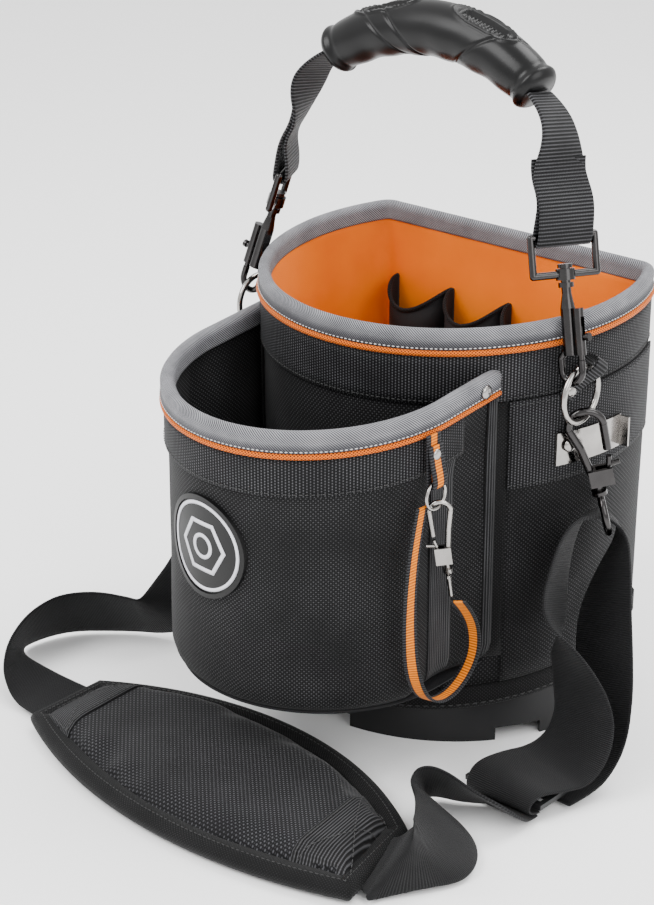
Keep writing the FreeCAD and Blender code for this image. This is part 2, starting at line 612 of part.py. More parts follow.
def make_handle():
    """Rubber grip, webbing legs, swivel loops, bolt snaps."""
    bow, top = size("grip_bow"), size("grip_top")
    half = size("grip_half")
    centre = V(0, 0, top - bow)
    body = doc.addObject("PartDesign::Body", "Grip")
    plane = [f for f in body.Origin.OriginFeatures if f.Role == "YZ_Plane"][0]
    section = body.newObject("Sketcher::SketchObject", "Section")
    section.AttachmentSupport = [(plane, "")]
    section.MapMode = "FlatFace"
    section.addGeometry(Part.Circle(V(0, bow, 0), V(0, 0, 1), size("grip_radius")), False)
    section.addConstraint(Sketcher.Constraint("Radius", 0, size("grip_radius")))
    section.addConstraint(Sketcher.Constraint("DistanceY", -1, 1, 0, 3, bow))
    section.addConstraint(Sketcher.Constraint("DistanceX", -1, 1, 0, 3, 0))
    section.setExpression("Constraints[0]", sheet_text("grip_radius"))
    section.setExpression("Constraints[1]", sheet_text("grip_bow"))
    shell = body.newObject("PartDesign::Revolution", "Shell")
    shell.Profile = section
    shell.ReferenceAxis = ([f for f in body.Origin.OriginFeatures if f.Role == "Y_Axis"][0], [""])
    shell.Midplane = True
    shell.setExpression("Angle", sheet_text("2 * grip_half"))
    channel = body.newObject("Sketcher::SketchObject", "ChannelSection")
    channel.AttachmentSupport = [(plane, "")]
    channel.MapMode = "FlatFace"
    rectangle(channel, -14.5, bow - 3.0, 14.5, bow + 3.0)
    groove = body.newObject("PartDesign::Groove", "Channel")
    groove.Profile = channel
    groove.ReferenceAxis = shell.ReferenceAxis
    groove.Midplane = True
    groove.Angle = 360.0
    body.Tip = groove
    frame = handle_frame()
    body.Placement = frame.multiply(FreeCAD.Placement(centre, FreeCAD.Rotation()))
    keep(body, "handle_grip")
    make_handle_webbing(frame, centre, bow, half)
    for side, name in ((-1, "left"), (1, "right")):
        spot = hook_frame(side)
        loop = swivel_loop()
        loop.rotate(V(0, 0, 0), V(0, 0, 1), -30 * side)
        feature(f"swivel_loop_{name}", loop, spot)
        feature(f"handle_hook_{name}", bolt_snap(), spot)
        feature(f"hook_bolt_{name}", snap_bolt(), spot)


def rectangle(sketch, x0, y0, x1, y1):
    """Closed rectangle in a sketch, its corners joined and sides square."""
    corners = [V(x0, y0, 0), V(x1, y0, 0), V(x1, y1, 0), V(x0, y1, 0)]
    for i in range(4):
        sketch.addGeometry(Part.LineSegment(corners[i], corners[(i + 1) % 4]), False)
    for i in range(4):
        sketch.addConstraint(Sketcher.Constraint("Coincident", i, 2, (i + 1) % 4, 1))
        sketch.addConstraint(Sketcher.Constraint("Horizontal" if i % 2 == 0 else "Vertical", i))


def make_handle_webbing(frame, centre, bow, half):
    """One web through the grip, and a leg down to each loop, sewn back round the loop's top bar."""
    gauge, wide = size("web_gauge"), size("web_width")
    core = Part.makeCylinder(bow + gauge / 2, 28, V(0, -14, 0), V(0, 1, 0))
    core = core.cut(Part.makeCylinder(bow - gauge / 2, 28, V(0, -14, 0), V(0, 1, 0)))
    reach = 2 * bow
    spread = math.radians(half + 1.0)
    across, up = reach * math.sin(spread), reach * math.cos(spread)
    corners = [V(0, -20, 0), V(-across, -20, up), V(across, -20, up), V(0, -20, 0)]
    core = core.common(Part.Face(Part.makePolygon(corners)).extrude(V(0, 40, 0)))
    core.translate(centre)
    feature("handle_web_core", core, frame)
    out = math.radians(half + 1.3)
    end = centre + V(bow * math.sin(out), 0, bow * math.cos(out))
    splay, turn = math.radians(size("hook_splay")), math.radians(30)
    for side, name in ((-1, "left"), (1, "right")):
        bar = V(side * (size("ring_out") - LOOP_HIGH * math.sin(splay)), 0, LOOP_HIGH * math.cos(splay))
        across = V(side * math.sin(turn) * math.cos(splay), math.cos(turn), math.sin(turn) * math.sin(splay))
        flat, turned = (0, 1, 0), tuple(across)
        stations = [(side * end.x, 0, end.z, *flat, 0.7), (side * (end.x + 10), 0, end.z - 6, *flat, 0.85),
                    (side * (end.x + 19), 0, end.z - 22, *flat), (side * (end.x + 20), 0, end.z - 44, *turned),
                    (bar.x, 0, bar.z + 22, *turned), (bar.x, 0, bar.z + 5.2, *turned)]
        solid = ribbon(stations, wide, gauge)[0]
        start = bar - across * (wide / 2)
        tube = Part.makeCylinder(5.3, wide, start, across).cut(Part.makeCylinder(2.5, wide, start, across))
        feature(f"handle_web_{name}", solid.fuse(tube), frame)


# ------------------------------------------------------------------ carrying rings and their tabs
def make_rings():
    """A ring on each side, held by a riveted webbing tab."""
    rivets = []
    for side, name in ((-1, "left"), (1, "right")):
        hoop = primitive("Torus", (f"{side} * ring_out", "ring_y", "ring_z"), (0, 1, 0), 90,
                         Radius1="ring_radius", Radius2="ring_wire")
        keep(hoop, f"carry_ring_{name}")
        tab, spot = ring_tab(side)
        feature(f"ring_tab_{name}", tab, spot)
        turn = FreeCAD.Rotation(V(0, 0, 1), -side * TAB_TURN)
        foot = spot.multVec(turn.multVec(V(side * -7.9, 0, -17.0)))
        outward = spot.Rotation.multVec(turn.multVec(V(side, 0, 0)))
        rivets.append(Part.makeCylinder(4.2, 1.6, foot, outward))
    feature("ring_tab_rivets", Part.makeCompound(rivets))


TAB_TURN = 7.0


def ring_tab(side):
    """Webbing tab folded over the ring's wire, its two ends riveted to the wall."""
    inner, gauge = 5.2, 1.5
    outer = inner + gauge
    foot = -11.4
    fold = Part.Face(Part.Wire([Part.Arc(V(-outer, 0, 0), V(0, 0, outer), V(outer, 0, 0)).toShape(),
                                Part.LineSegment(V(outer, 0, 0), V(inner, 0, 0)).toShape(),
                                Part.Arc(V(inner, 0, 0), V(0, 0, inner), V(-inner, 0, 0)).toShape(),
                                Part.LineSegment(V(-inner, 0, 0), V(-outer, 0, 0)).toShape()]))
    legs = [(-outer, -inner, foot, foot + gauge), (inner, outer, foot + gauge + 0.3, foot + 2 * gauge + 0.3)]
    shapes = [fold]
    for top_a, top_b, low_a, low_b in legs:
        outline = [V(top_a, 0, 0), V(top_b, 0, 0), V(low_b, 0, -13), V(low_b, 0, -22),
                   V(low_a, 0, -22), V(low_a, 0, -13), V(top_a, 0, 0)]
        shapes.append(Part.Face(Part.makePolygon(outline)))
    solids = [shape.extrude(V(0, 11.2, 0)) for shape in shapes]
    tab = solids[0].multiFuse(solids[1:]).removeSplitter()
    tab.translate(V(0, -5.6, 0))
    tab.rotate(V(0, 0, 0), V(0, 0, 1), -TAB_TURN)
    if side < 0:
        tab = tab.mirror(V(0, 0, 0), V(1, 0, 0))
    hold = math.radians(38)
    point = V(side * size("ring_out"), size("ring_y") + size("ring_radius") * math.sin(hold),
              size("ring_z") + size("ring_radius") * math.cos(hold))
    return tab, FreeCAD.Placement(point, FreeCAD.Rotation(V(1, 0, 0), -38))


# ------------------------------------------------------------------ strap hooks and lanyard hook
def trigger_snap(bow, wire, held, reach):
    """Gated hook hanging from a wire of radius held at the origin; its body ends at -reach."""
    middle = held + 0.1 + wire - bow
    arch = arc_rod((0, 0, middle), bow, wire, 0, 180)
    spine = rod([(-bow, 0, middle), (-bow * 0.58, 0, -reach * 0.42), (-wire, 0, 8 - reach)], 1.06 * wire)
    nose = rod([(bow, 0, middle), (bow * 0.95, 0, -reach * 0.5)], 1.06 * wire)
    base = Part.makeBox(bow + wire + 2, 3.2 * wire, 12, V(-wire - 2, -1.6 * wire, -reach))
    slot = Part.makeBox(bow + 4, 1.7 * wire, 11, V(0.5, -0.85 * wire, 1.5 - reach))
    pin = Part.makeCylinder(0.6 * wire, 3.2 * wire, V(bow - 3, -1.6 * wire, 7 - reach), V(0, 1, 0))
    neck = Part.makeCylinder(wire, 6, V(0, 0, -reach - 5))
    collar = Part.makeCylinder(1.9 * wire, 3, V(0, 0, -reach - 7))
    return arch.multiFuse([spine, nose, base, neck, collar]).cut(slot).fuse(pin)


def trigger_gate(bow, wire, reach):
    """Sprung gate of the trigger hook with its thumb lever."""
    px, pz = bow - 3, 7 - reach
    bar = rod([(px, 0, pz), (bow * 0.95, 0, -reach * 0.5 - 2.1 * wire)], 0.7 * wire)
    lever = rod([(px + 0.6, 0, pz + 6), (px + 6 + wire, 0, pz + 7)], 0.6 * wire)
    foot = Part.makeCylinder(1.15 * wire, 1.5 * wire, V(px, -0.75 * wire, pz), V(0, 1, 0))
    hole = Part.makeCylinder(0.6 * wire + 0.05, 2 * wire, V(px, -wire, pz), V(0, 1, 0))
    return bar.multiFuse([lever, foot]).cut(hole)


def snap_frame(side):
    """Frame of a strap hook: the origin in the ring's lowest wire, tilted to the rear."""
    low = math.radians(15)
    point = V(side * size("ring_out"), size("ring_y") + size("ring_radius") * math.sin(low),
              size("ring_z") - size("ring_radius") * math.cos(low))
    tilt = FreeCAD.Rotation(V(0, 1, 0), -5 * side).multiply(FreeCAD.Rotation(V(1, 0, 0), 15))
    face = FreeCAD.Rotation(V(0, 0, 1), 41 if side > 0 else 139)
    return FreeCAD.Placement(point, tilt.multiply(face))


STRAP_SNAP = (11.0, 2.6, 50.0)
LANYARD_SNAP = (6.5, 1.6, 42.0)


def make_snaps():
    """Strap hooks on the carrying rings: hook, gate and the round eye the strap runs through."""
    bow, wire, reach = STRAP_SNAP
    for side, name in ((-1, "left"), (1, "right")):
        spot = snap_frame(side)
        eye = Part.makeTorus(13.4, 2.4, V(0, 0, -reach - 7 - 14.4), V(1, 0, 0))
        hook = trigger_snap(bow, wire, size("ring_wire"), reach).fuse(eye)
        feature(f"strap_hook_{name}", hook, spot)
        feature(f"strap_gate_{name}", trigger_gate(bow, wire, reach), spot)


def make_lanyard():
    """Tool lanyard on the right gusset: tab, rivet, split ring, strap and hook."""
    feature("lanyard_tab", Part.makeBox(1.6, 10, 30, V(102.6, -124, 214)))
    feature("lanyard_rivet", Part.makeCylinder(3.8, 1.6, V(104.3, -119, 230), V(1, 0, 0)))
    hoop = primitive("Torus", (106.7, -120.6, 204), (0, 1, 0), 90, Radius1=9.0, Radius2=1.1)
    keep(hoop, "split_ring")
    strap("lanyard_strap", LANYARD, 10.0, 1.4)
    bow, wire, reach = LANYARD_SNAP
    spot = FreeCAD.Placement(V(107, -117.5, 196.1), FreeCAD.Rotation(V(1, 0, 0), 12))
    spot = spot.multiply(FreeCAD.Placement(V(0, 0, 0), FreeCAD.Rotation(V(0, 0, 1), 221)))
    low = -reach - 7
    corners = [(0, -6.5, low), (0, 6.5, low), (0, 6.5, low - 13), (0, -6.5, low - 13), (0, -6.5, low)]
    eye = rod(corners, 1.4)
    hook = trigger_snap(bow, wire, 1.1, reach).fuse(eye)
    feature("lanyard_hook", hook, spot)
    feature("lanyard_gate", trigger_gate(bow, wire, reach), spot)


def make_pouch_details():
    """Divider in the pouch and the rivets at the ends of the pouch rim."""
    divider = Part.makeBox(2.4, 92, 140, V(-1.2, -192, size("pouch_low") + 3.2))
    divider.rotate(V(0, -97, 0), V(0, 0, 1), -9)
    feature("pouch_divider", divider)
    ends = [Part.makeCylinder(4.6, 1.6, V(side * 102.8, -67, 254), V(side, 0, 0)) for side in (-1, 1)]
    feature("pouch_rim_rivets", Part.makeCompound(ends))


def check_all():
    """Stops on any failed object or bad sub-part shape."""
    for obj in doc.Objects:
        bad = {"Invalid", "Error"} & set(obj.State)
        if bad:
            raise RuntimeError(f"{obj.Name} ({obj.Label}) failed: {obj.State}")
    for obj in PARTS:
        shape = obj.Shape
        if shape.isNull() or not shape.isValid() or shape.Volume <= 0:
            raise RuntimeError(f"{obj.Label}: null, invalid or empty shape")


def main():
    make_main_walls()
    make_base()
    make_floor_board()
    make_pouch()
    make_pouch_details()
    make_side_pockets()
    make_tool_pockets()
    make_clip()
    make_badge()
    make_rings()
    make_handle()
    make_snaps()
    make_lanyard()
    make_strap()
    doc.recompute()
    check_all()
    os.makedirs("parts", exist_ok=True)
    for obj in PARTS:
        obj.Shape.exportStep(f"parts/{obj.Label}.step")
        print(f"{obj.Label}: {len(obj.Shape.Solids)} solid(s), {obj.Shape.Volume / 1000:.1f} cm3")


main()
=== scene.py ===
import math

import bmesh
import bpy
from mathutils import Matrix, Vector, noise


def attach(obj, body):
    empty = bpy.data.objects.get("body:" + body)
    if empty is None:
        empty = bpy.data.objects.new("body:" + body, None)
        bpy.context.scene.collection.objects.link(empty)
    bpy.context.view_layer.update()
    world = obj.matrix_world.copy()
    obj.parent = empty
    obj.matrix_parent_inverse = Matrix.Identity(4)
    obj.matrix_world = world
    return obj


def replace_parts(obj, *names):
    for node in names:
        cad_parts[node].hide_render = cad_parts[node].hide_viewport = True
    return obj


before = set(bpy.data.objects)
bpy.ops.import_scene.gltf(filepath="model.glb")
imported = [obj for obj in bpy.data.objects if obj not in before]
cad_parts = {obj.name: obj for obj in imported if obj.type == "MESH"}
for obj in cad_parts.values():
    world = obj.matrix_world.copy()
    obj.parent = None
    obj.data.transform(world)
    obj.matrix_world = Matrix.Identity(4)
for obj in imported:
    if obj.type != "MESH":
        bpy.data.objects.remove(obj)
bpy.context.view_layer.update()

MM = 0.001
FREE = bpy.context.scene.collection
SIDES = ((-1, "left"), (1, "right"))


# ---- camera
def make_camera():
    """Camera at the front right, a little above the rim."""
    data = bpy.data.cameras.new("camera")
    data.lens = 93.0
    data.sensor_width = 36.0
    data.shift_x = -0.0065
    data.shift_y = 0.0042
    data.clip_end = 20.0
    camera = bpy.data.objects.new("camera", data)
    FREE.objects.link(camera)
    camera.location = (0.9077, -1.1368, 0.7764)
    aim = Vector((-0.0805, 0.0, 0.1393)) - camera.location
    camera.rotation_euler = aim.to_track_quat("-Z", "Y").to_euler()
    bpy.context.scene.camera = camera


# ---- node materials
class Shader:
    """Small helper to build a material from nodes."""

    def __init__(self, name, rough=0.6, metallic=0.0, sheen=0.0, coat=0.0, shine=0.14):
        self.material = bpy.data.materials.new(name)
        self.material.use_nodes = True
        self.tree = self.material.node_tree
        self.skin = self.tree.nodes["Principled BSDF"]
        self.set("Roughness", rough)
        self.set("Metallic", metallic)
        self.set("Specular IOR Level", shine)
        self.set("Sheen Weight", sheen * 0.3)
        self.set("Sheen Roughness", 0.4)
        self.set("Coat Weight", coat)
        self.set("Coat Roughness", 0.15)

    def set(self, name, value):
        """Give an input of the surface a value or a link."""
        self.put(self.skin.inputs[name], value)

    def put(self, socket, value):
        if isinstance(value, bpy.types.NodeSocket):
            self.tree.links.new(value, socket)
        else:
            socket.default_value = value

    def node(self, kind, *values):
        """New node, its first inputs given."""
        node = self.tree.nodes.new("ShaderNode" + kind)
        for socket, value in zip(node.inputs, values):
            self.put(socket, value)
        return node

    def calc(self, operation, a, b=0.0, c=0.0):
        """Result of a math node."""
        node = self.node("Math", a, b, c)
        node.operation = operation
        return node.outputs[0]

    def uv(self):
        """Run along the piece and place across it, in metres."""
        return self.split(self.node("UVMap").outputs[0])[:2]

    def point(self):
        """Place on the object, in metres."""
        return self.node("TexCoord").outputs["Object"]

    def split(self, vector):
        return self.node("SeparateXYZ", vector).outputs

    def noise(self, scale, detail=3.0):
        node = self.node("TexNoise", self.point())
        node.inputs["Scale"].default_value = scale
        node.inputs["Detail"].default_value = detail
        return node.outputs["Fac"]

    def wave(self, value, pitch, shift=0.0):
        """0 to 1 and back once every pitch."""
        turned = self.scaled(value, 2 * math.pi / pitch, shift)
        return self.scaled(self.calc("SINE", turned), 0.5, 0.5)

    def span(self, value, low, high, to_low=0.0, to_high=1.0):
        return self.node("MapRange", value, low, high, to_low, to_high).outputs[0]

    def ramp(self, value, *stops):
        """Colour along stops of (place, red, green, blue)."""
        node = self.node("ValToRGB", value)
        points = node.color_ramp.elements
        while len(points) < len(stops):
            points.new(0.5)
        for point, (place, *colour) in zip(points, stops):
            point.position = place
            point.color = (*colour, 1.0)
        return node.outputs[0]

    def colour(self, value, *stops):
        """Colour of the surface, by the stops of a ramp."""
        self.set("Base Color", self.ramp(value, *stops))

    def times(self, a, b):
        return self.calc("MULTIPLY", a, b)

    def scaled(self, value, factor, plus):
        return self.calc("MULTIPLY_ADD", value, factor, plus)

    def mix(self, share, a, b):
        node = self.node("Mix")
        node.data_type = "RGBA"
        for socket, value in zip((node.inputs[0], node.inputs[6], node.inputs[7]), (share, a, b)):
            self.put(socket, value)
        return node.outputs[2]

    def worn_highlight(self, value, scale, low, high, detail=3.0):
        """A value (a painted highlight pattern of threads, loops or ribs) varied from low to high by slow
        noise, as real wear.
        """
        return self.times(value, self.span(self.noise(scale, detail), 0.3, 0.7, low, high))

    def bump(self, height, depth, strength):
        node = self.node("Bump")
        node.inputs["Strength"].default_value = strength
        node.inputs["Distance"].default_value = depth
        self.put(node.inputs["Height"], height)
        self.set("Normal", node.outputs[0])


def grey(place, shade, blue=1.0):
    """Stop of a colour ramp: a grey, a touch blue."""
    return place, shade, shade, shade * blue


def basket(shader, a, b, pitch):
    """Plain weave: crowns of the threads, one over and one under."""
    waves = [shader.calc("SINE", shader.times(value, math.pi / pitch)) for value in (a, b)]
    crown = shader.times(*[shader.calc("ABSOLUTE", wave) for wave in waves])
    over = shader.calc("SIGN", shader.times(*waves))
    return shader.times(crown, shader.scaled(over, 0.3, 0.7))


def ballistic(name, dark=0.003, light=0.050, pitch=1.5 * MM):
    """Coarse nylon weave; its thread crowns painted lighter as highlights and the gaps darker as shade."""
    shader = Shader(name, 0.72, sheen=0.15)
    a, b = shader.uv()
    weave = basket(shader, a, b, pitch)
    # painted highlight on the thread crowns and painted shade in the gaps, varied by real wear
    lift = shader.worn_highlight(weave, 26.0, 0.6, 1.15, 4.0)
    shader.colour(lift, grey(0.25, dark, 1.08), grey(0.95, light, 1.05))
    shader.bump(weave, 0.35 * MM, 0.9)
    return shader.material


def column_web(name):
    """Wide webbing whose columns of small loops run down it; the loops are painted lighter as highlights."""
    shader = Shader(name, 0.7, sheen=0.12)
    a, b = shader.uv()
    column = shader.calc("POWER", shader.wave(a, 2.1 * MM), 1.5)
    half = shader.calc("SIGN", shader.calc("SINE", shader.times(a, math.pi / (2.1 * MM))))
    loop = shader.wave(b, 1.9 * MM, shader.times(half, 1.5))
    knit = shader.times(column, shader.scaled(loop, 0.8, 0.2))
    # painted highlight on the knit loops, varied by real wear
    worn_highlight = shader.worn_highlight(knit, 30.0, 0.7, 1.2)
    shader.colour(worn_highlight, grey(0.2, 0.0025, 1.2), grey(1.0, 0.085, 1.06))
    shader.bump(knit, 0.4 * MM, 0.9)
    return shader.material


def rib_web(name, pitch=2.2 * MM, dark=0.0025, light=0.065):
    """Strap webbing with ribs across it and fine threads along it; the ribs and threads painted lighter as
    highlights.
    """
    shader = Shader(name, 0.62, sheen=0.15)
    a, b = shader.uv()
    rib = shader.wave(a, pitch)
    thread = shader.wave(b, 1.1 * MM)
    fine = shader.scaled(thread, 0.35, 0.65)
    # painted highlight on the ribs and threads, varied by real wear
    worn_highlight = shader.worn_highlight(shader.times(shader.calc("POWER", rib, 1.6), fine), 40.0, 0.75, 1.15)
    shader.colour(worn_highlight, grey(0.15, dark, 1.1), grey(1.0, light, 1.06))
    shader.bump(shader.scaled(thread, 0.25, rib), 0.5 * MM, 0.8)
    return shader.material


def twill(name):
    """Grey binding tape: fine diagonal lines, painted lighter over the edge as a highlight and darker down the
    outer flap as shade, speckled below.
    """
    shader = Shader(name, 0.66, sheen=0.25)
    a, b = shader.uv()
    slant = shader.wave(shader.calc("ADD", a, b), 1.7 * MM)
    cross = shader.wave(shader.calc("SUBTRACT", a, b), 0.9 * MM)
    lines = shader.scaled(cross, 0.25, shader.times(slant, 0.75))
    cloud = shader.noise(60.0)
    shade = shader.scaled(cloud, 0.3, shader.times(lines, 0.85))
    # painted shade: the outer flap darker towards its foot, leaving the top over the edge light as a highlight
    painted_flap_shade = shader.span(b, 4.0 * MM, 9.0 * MM, 0.55, 1.0)
    shade = shader.times(shade, painted_flap_shade)
    shader.colour(shade, grey(0.12, 0.016, 1.19), grey(0.55, 0.080, 1.1), grey(1.0, 0.38, 1.05))
    shader.bump(lines, 0.3 * MM, 0.8)
    return shader.material


def braid(name):
    """Orange braided cord; the grooves between strands painted dark as shade, the strand crowns lighter as
    highlights.
    """
    shader = Shader(name, 0.55, sheen=0.2)
    a, b = shader.uv()
    plait = shader.calc("MAXIMUM", shader.wave(shader.calc("ADD", a, b), 2.1 * MM),
                        shader.wave(shader.calc("SUBTRACT", a, b), 2.1 * MM))
    # painted shade in the grooves, painted highlight on the strand crowns
    shader.colour(plait, (0.45, 0.08, 0.012, 0.001), (0.75, 0.46, 0.075, 0.0008), (1.0, 0.80, 0.17, 0.002))
    shader.bump(plait, 0.5 * MM, 0.9)
    return shader.material


def coated_nylon(name, low, high, fold=0.6):
    """Smooth coated cloth with a faint weave and soft creases."""
    shader = Shader(name, 0.5, sheen=0.2)
    a, b = shader.uv()
    weave = basket(shader, a, b, 0.7 * MM)
    cloud = shader.noise(14.0, 4.0)
    shader.colour(cloud, (0.3, *low), (0.7, *high))
    faint = shader.times(weave, 0.5)
    shader.bump(shader.scaled(shader.noise(22.0, 2.0), 6.0 * fold, faint), 0.4 * MM, 0.5)
    shader.set("Roughness", shader.span(cloud, 0.3, 0.7, 0.42, 0.6))
    return shader.material


def rubber(name, shade, rough, coat=0.0, grain=900.0, depth=0.08):
    """Moulded rubber or plastic with a fine grain and handling marks."""
    shader = Shader(name, rough, coat=coat, shine=0.22)
    grainy = shader.noise(grain, 2.0)
    cloud = shader.noise(18.0, 4.0)
    shader.colour(cloud, grey(0.3, shade * 0.8, 1.06), grey(0.75, shade * 1.5, 1.07))
    shader.set("Roughness", shader.span(cloud, 0.3, 0.75, rough - 0.06, rough + 0.1))
    shader.bump(grainy, depth * MM, 0.6)
    return shader.material


def metal(name, colour, rough):
    """Plated metal with faint scratches."""
    shader = Shader(name, rough, 1.0, shine=0.5)
    cloud = shader.noise(60.0, 4.0)
    scratch = shader.noise(700.0, 2.0)
    dark = [c * 0.72 for c in colour]
    shader.colour(cloud, (0.3, *dark), (0.65, *colour))
    shader.set("Roughness", shader.span(cloud, 0.3, 0.7, rough - 0.05, rough + 0.12))
    shader.bump(scratch, 0.05 * MM, 0.4)
    return shader.material


def striped_web(name):
    """Lanyard tape: black with an orange stripe down its middle; its ribs painted lighter as highlights."""
    shader = Shader(name, 0.6, sheen=0.2)
    a, b = shader.uv()
    rib = shader.wave(a, 1.9 * MM)
    middle = shader.span(shader.calc("ABSOLUTE", b), 2.6 * MM, 2.9 * MM, 1.0, 0.0)
    # painted highlight on the rib crowns, in the orange stripe and in the black
    orange = shader.ramp(rib, (0.1, 0.34, 0.075, 0.0008), (0.9, 0.76, 0.21, 0.001))
    black = shader.ramp(rib, grey(0.3, 0.003, 1.17), grey(0.95, 0.035, 1.09))
    shader.set("Base Color", shader.mix(middle, black, orange))
    shader.bump(rib, 0.35 * MM, 0.8)
    return shader.material


def pad_mesh(name):
    """Woven cover of the pad, laid on its plan; its thread crowns painted lighter as highlights and the gaps
    darker as shade.
    """
    shader = Shader(name, 0.75, sheen=0.3)
    x, y, _ = shader.split(shader.point())
    weave = basket(shader, x, y, 1.7 * MM)
    # painted highlight on the thread crowns and painted shade in the gaps, varied by real wear
    lift = shader.worn_highlight(weave, 24.0, 0.7, 1.15, 4.0)
    shader.colour(lift, grey(0.2, 0.003, 1.17), grey(0.9, 0.055, 1.09))
    shader.bump(weave, 0.35 * MM, 0.9)
    return shader.material


def thread(name, shade):
    """Sewing thread with a twist."""
    shader = Shader(name, 0.5, sheen=0.3)
    twist = shader.noise(1500.0, 1.0)
    shader.colour(twist, grey(0.3, shade * 0.7), grey(0.7, shade))
    shader.bump(twist, 0.1 * MM, 0.5)
    return shader.material


CLOTH = {
    "ballistic": ballistic("ballistic_weave"),
    "fine": ballistic("fine_weave", 0.002, 0.022, 1.2 * MM),
    "columns": column_web("column_webbing"),
    "ribs": rib_web("ribbed_webbing"),
    "belt": rib_web("fine_strap_webbing", 1.15 * MM, 0.003, 0.022),
    "twill": twill("grey_twill"),
    "braid": braid("orange_braid"),
    "lining": coated_nylon("orange_lining_cloth", (0.70, 0.135, 0.0004), (0.84, 0.190, 0.0006)),
    "black_lining": coated_nylon("black_lining_cloth", (0.003, 0.003, 0.0035), (0.008, 0.008, 0.009)),
    "stripe": striped_web("striped_webbing"),
    "pad": pad_mesh("pad_spacer_cloth"),
    "edge": ballistic("edge_tape", 0.002, 0.020, 1.1 * MM),
    "black_thread": thread("black_thread", 0.05),
    "pale_thread": thread("pale_thread", 0.62),
    "base": rubber("moulded_base", 0.006, 0.40, 0.1),
    "grip": rubber("glossy_grip", 0.0022, 0.30, 0.0, 700.0, 0.04),
    "plastic": rubber("black_plastic", 0.006, 0.3, 0.1),
    "badge": rubber("badge_rubber", 0.002, 0.42, 0.1),
    "print": rubber("badge_print", 0.55, 0.5),
    "nickel": metal("nickel_plate", (0.36, 0.345, 0.33), 0.14),
    "gunmetal": metal("gunmetal_plate", (0.050, 0.048, 0.048), 0.16),
    "board": coated_nylon("board_cover", (0.006, 0.006, 0.006), (0.012, 0.012, 0.012), 0.2),
}


def finish_mesh(name, mesh, finish, body="bucket"):
    """Object with its finish and material slot, riding on a body."""
    work = bmesh.new()
    work.from_mesh(mesh)
    bmesh.ops.recalc_face_normals(work, faces=work.faces)
    work.to_mesh(mesh)
    work.free()
    for face in mesh.polygons:
        face.use_smooth = True
    obj = bpy.data.objects.new(name, mesh)
    FREE.objects.link(obj)
    mesh.materials.append(CLOTH[finish])
    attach(obj, body)
    return obj


def ring_faces(rings, count, start=0, loop=False):
    """Quads between closed rings of points, numbered from start."""
    total = rings * count
    return [tuple(start + n % total for n in (r * count + k, r * count + (k + 1) % count,
                                              (r + 1) * count + (k + 1) % count, (r + 1) * count + k))
            for r in range(rings if loop else rings - 1) for k in range(count)]


def grid(name, rows, along, around, finish, body="bucket", loop=False):
    """Closed skin through rows of points, each row a closed section; UV in metres."""
    count = len(rows[0])
    points = [p for row in rows for p in row]
    faces = ring_faces(len(rows), count, loop=loop)
    uvs = []
    for i in range(len(faces) // count):
        for k in range(count):
            uvs += [(along[i], around[k]), (along[i], around[k + 1]),
                    (along[i + 1], around[k + 1]), (along[i + 1], around[k])]
    if not loop:
        last = (len(rows) - 1) * count
        faces.append(tuple(range(count)))
        faces.append(tuple(last + k for k in range(count)))
        uvs += [(along[0], v) for v in around[:count]] + [(along[-1], v) for v in around[:count]]
    mesh = bpy.data.meshes.new(name)
    mesh.from_pydata(points, [], faces)
    layer = mesh.uv_layers.new(name="UVMap")
    layer.data.foreach_set("uv", [x for uv in uvs for x in uv])
    mesh.validate()
    return finish_mesh(name, mesh, finish, body)


def runs(points, loop=False):
    """Distance along the points from the first."""
    total, out = 0.0, [0.0]
    for a, b in zip(points, points[1:] + points[:1] if loop else points[1:]):
        total += (Vector(b) - Vector(a)).length
        out.append(total)
    return out


PLAN_HEIGHT, FLARE = 250.0, 0.0087
BUCKET_RADIUS, BUCKET_CENTRE, BUCKET_BACK, BACK_CORNER = 127.2, 31.9, 95.6, 6.0
POUCH_RADIUS, POUCH_CENTRE, POUCH_BACK = 97.5, -102.8, -51.4


class Plan:
    """Line seen from above, with its outward directions and the share of taper at each point."""

    def __init__(self, points, tapers, loop):
        self.points = [Vector((x * MM, y * MM, 0)) for x, y in points]
        self.loop = loop
        self.tapers = tapers
        self.along = runs(self.points, loop)
        self.outward = []
        last = len(points) - 1
        for i in range(len(points)):
            before = self.points[i - 1] if loop or i else self.points[0]
            after = self.points[(i + 1) % len(points)] if loop or i < last else self.points[last]
            way = (after - before).normalized()
            self.outward.append(Vector((way.y, -way.x, 0)))

    def at(self, i, out, z):
        """Point i moved outward, at a height, in metres; out in millimetres."""
        out += self.tapers[i] * (z / MM - PLAN_HEIGHT) * FLARE
        return self.points[i] + self.outward[i] * (out * MM) + Vector((0, 0, z))

    def part(self, first, last):
        """The stretch from point first to just before point last, as an open line."""
        cut = Plan.__new__(Plan)
        cut.points = self.points[first:last]
        cut.outward = self.outward[first:last]
        cut.tapers = self.tapers[first:last]
        cut.loop = False
        cut.along = runs(cut.points)
        return cut


def rounded(near, corner, far, shares):
    """Points on the curve that rounds a corner."""
    return [tuple((1 - t) ** 2 * near[k] + 2 * t * (1 - t) * corner[k] + t * t * far[k] for k in (0, 1))
            for t in shares]


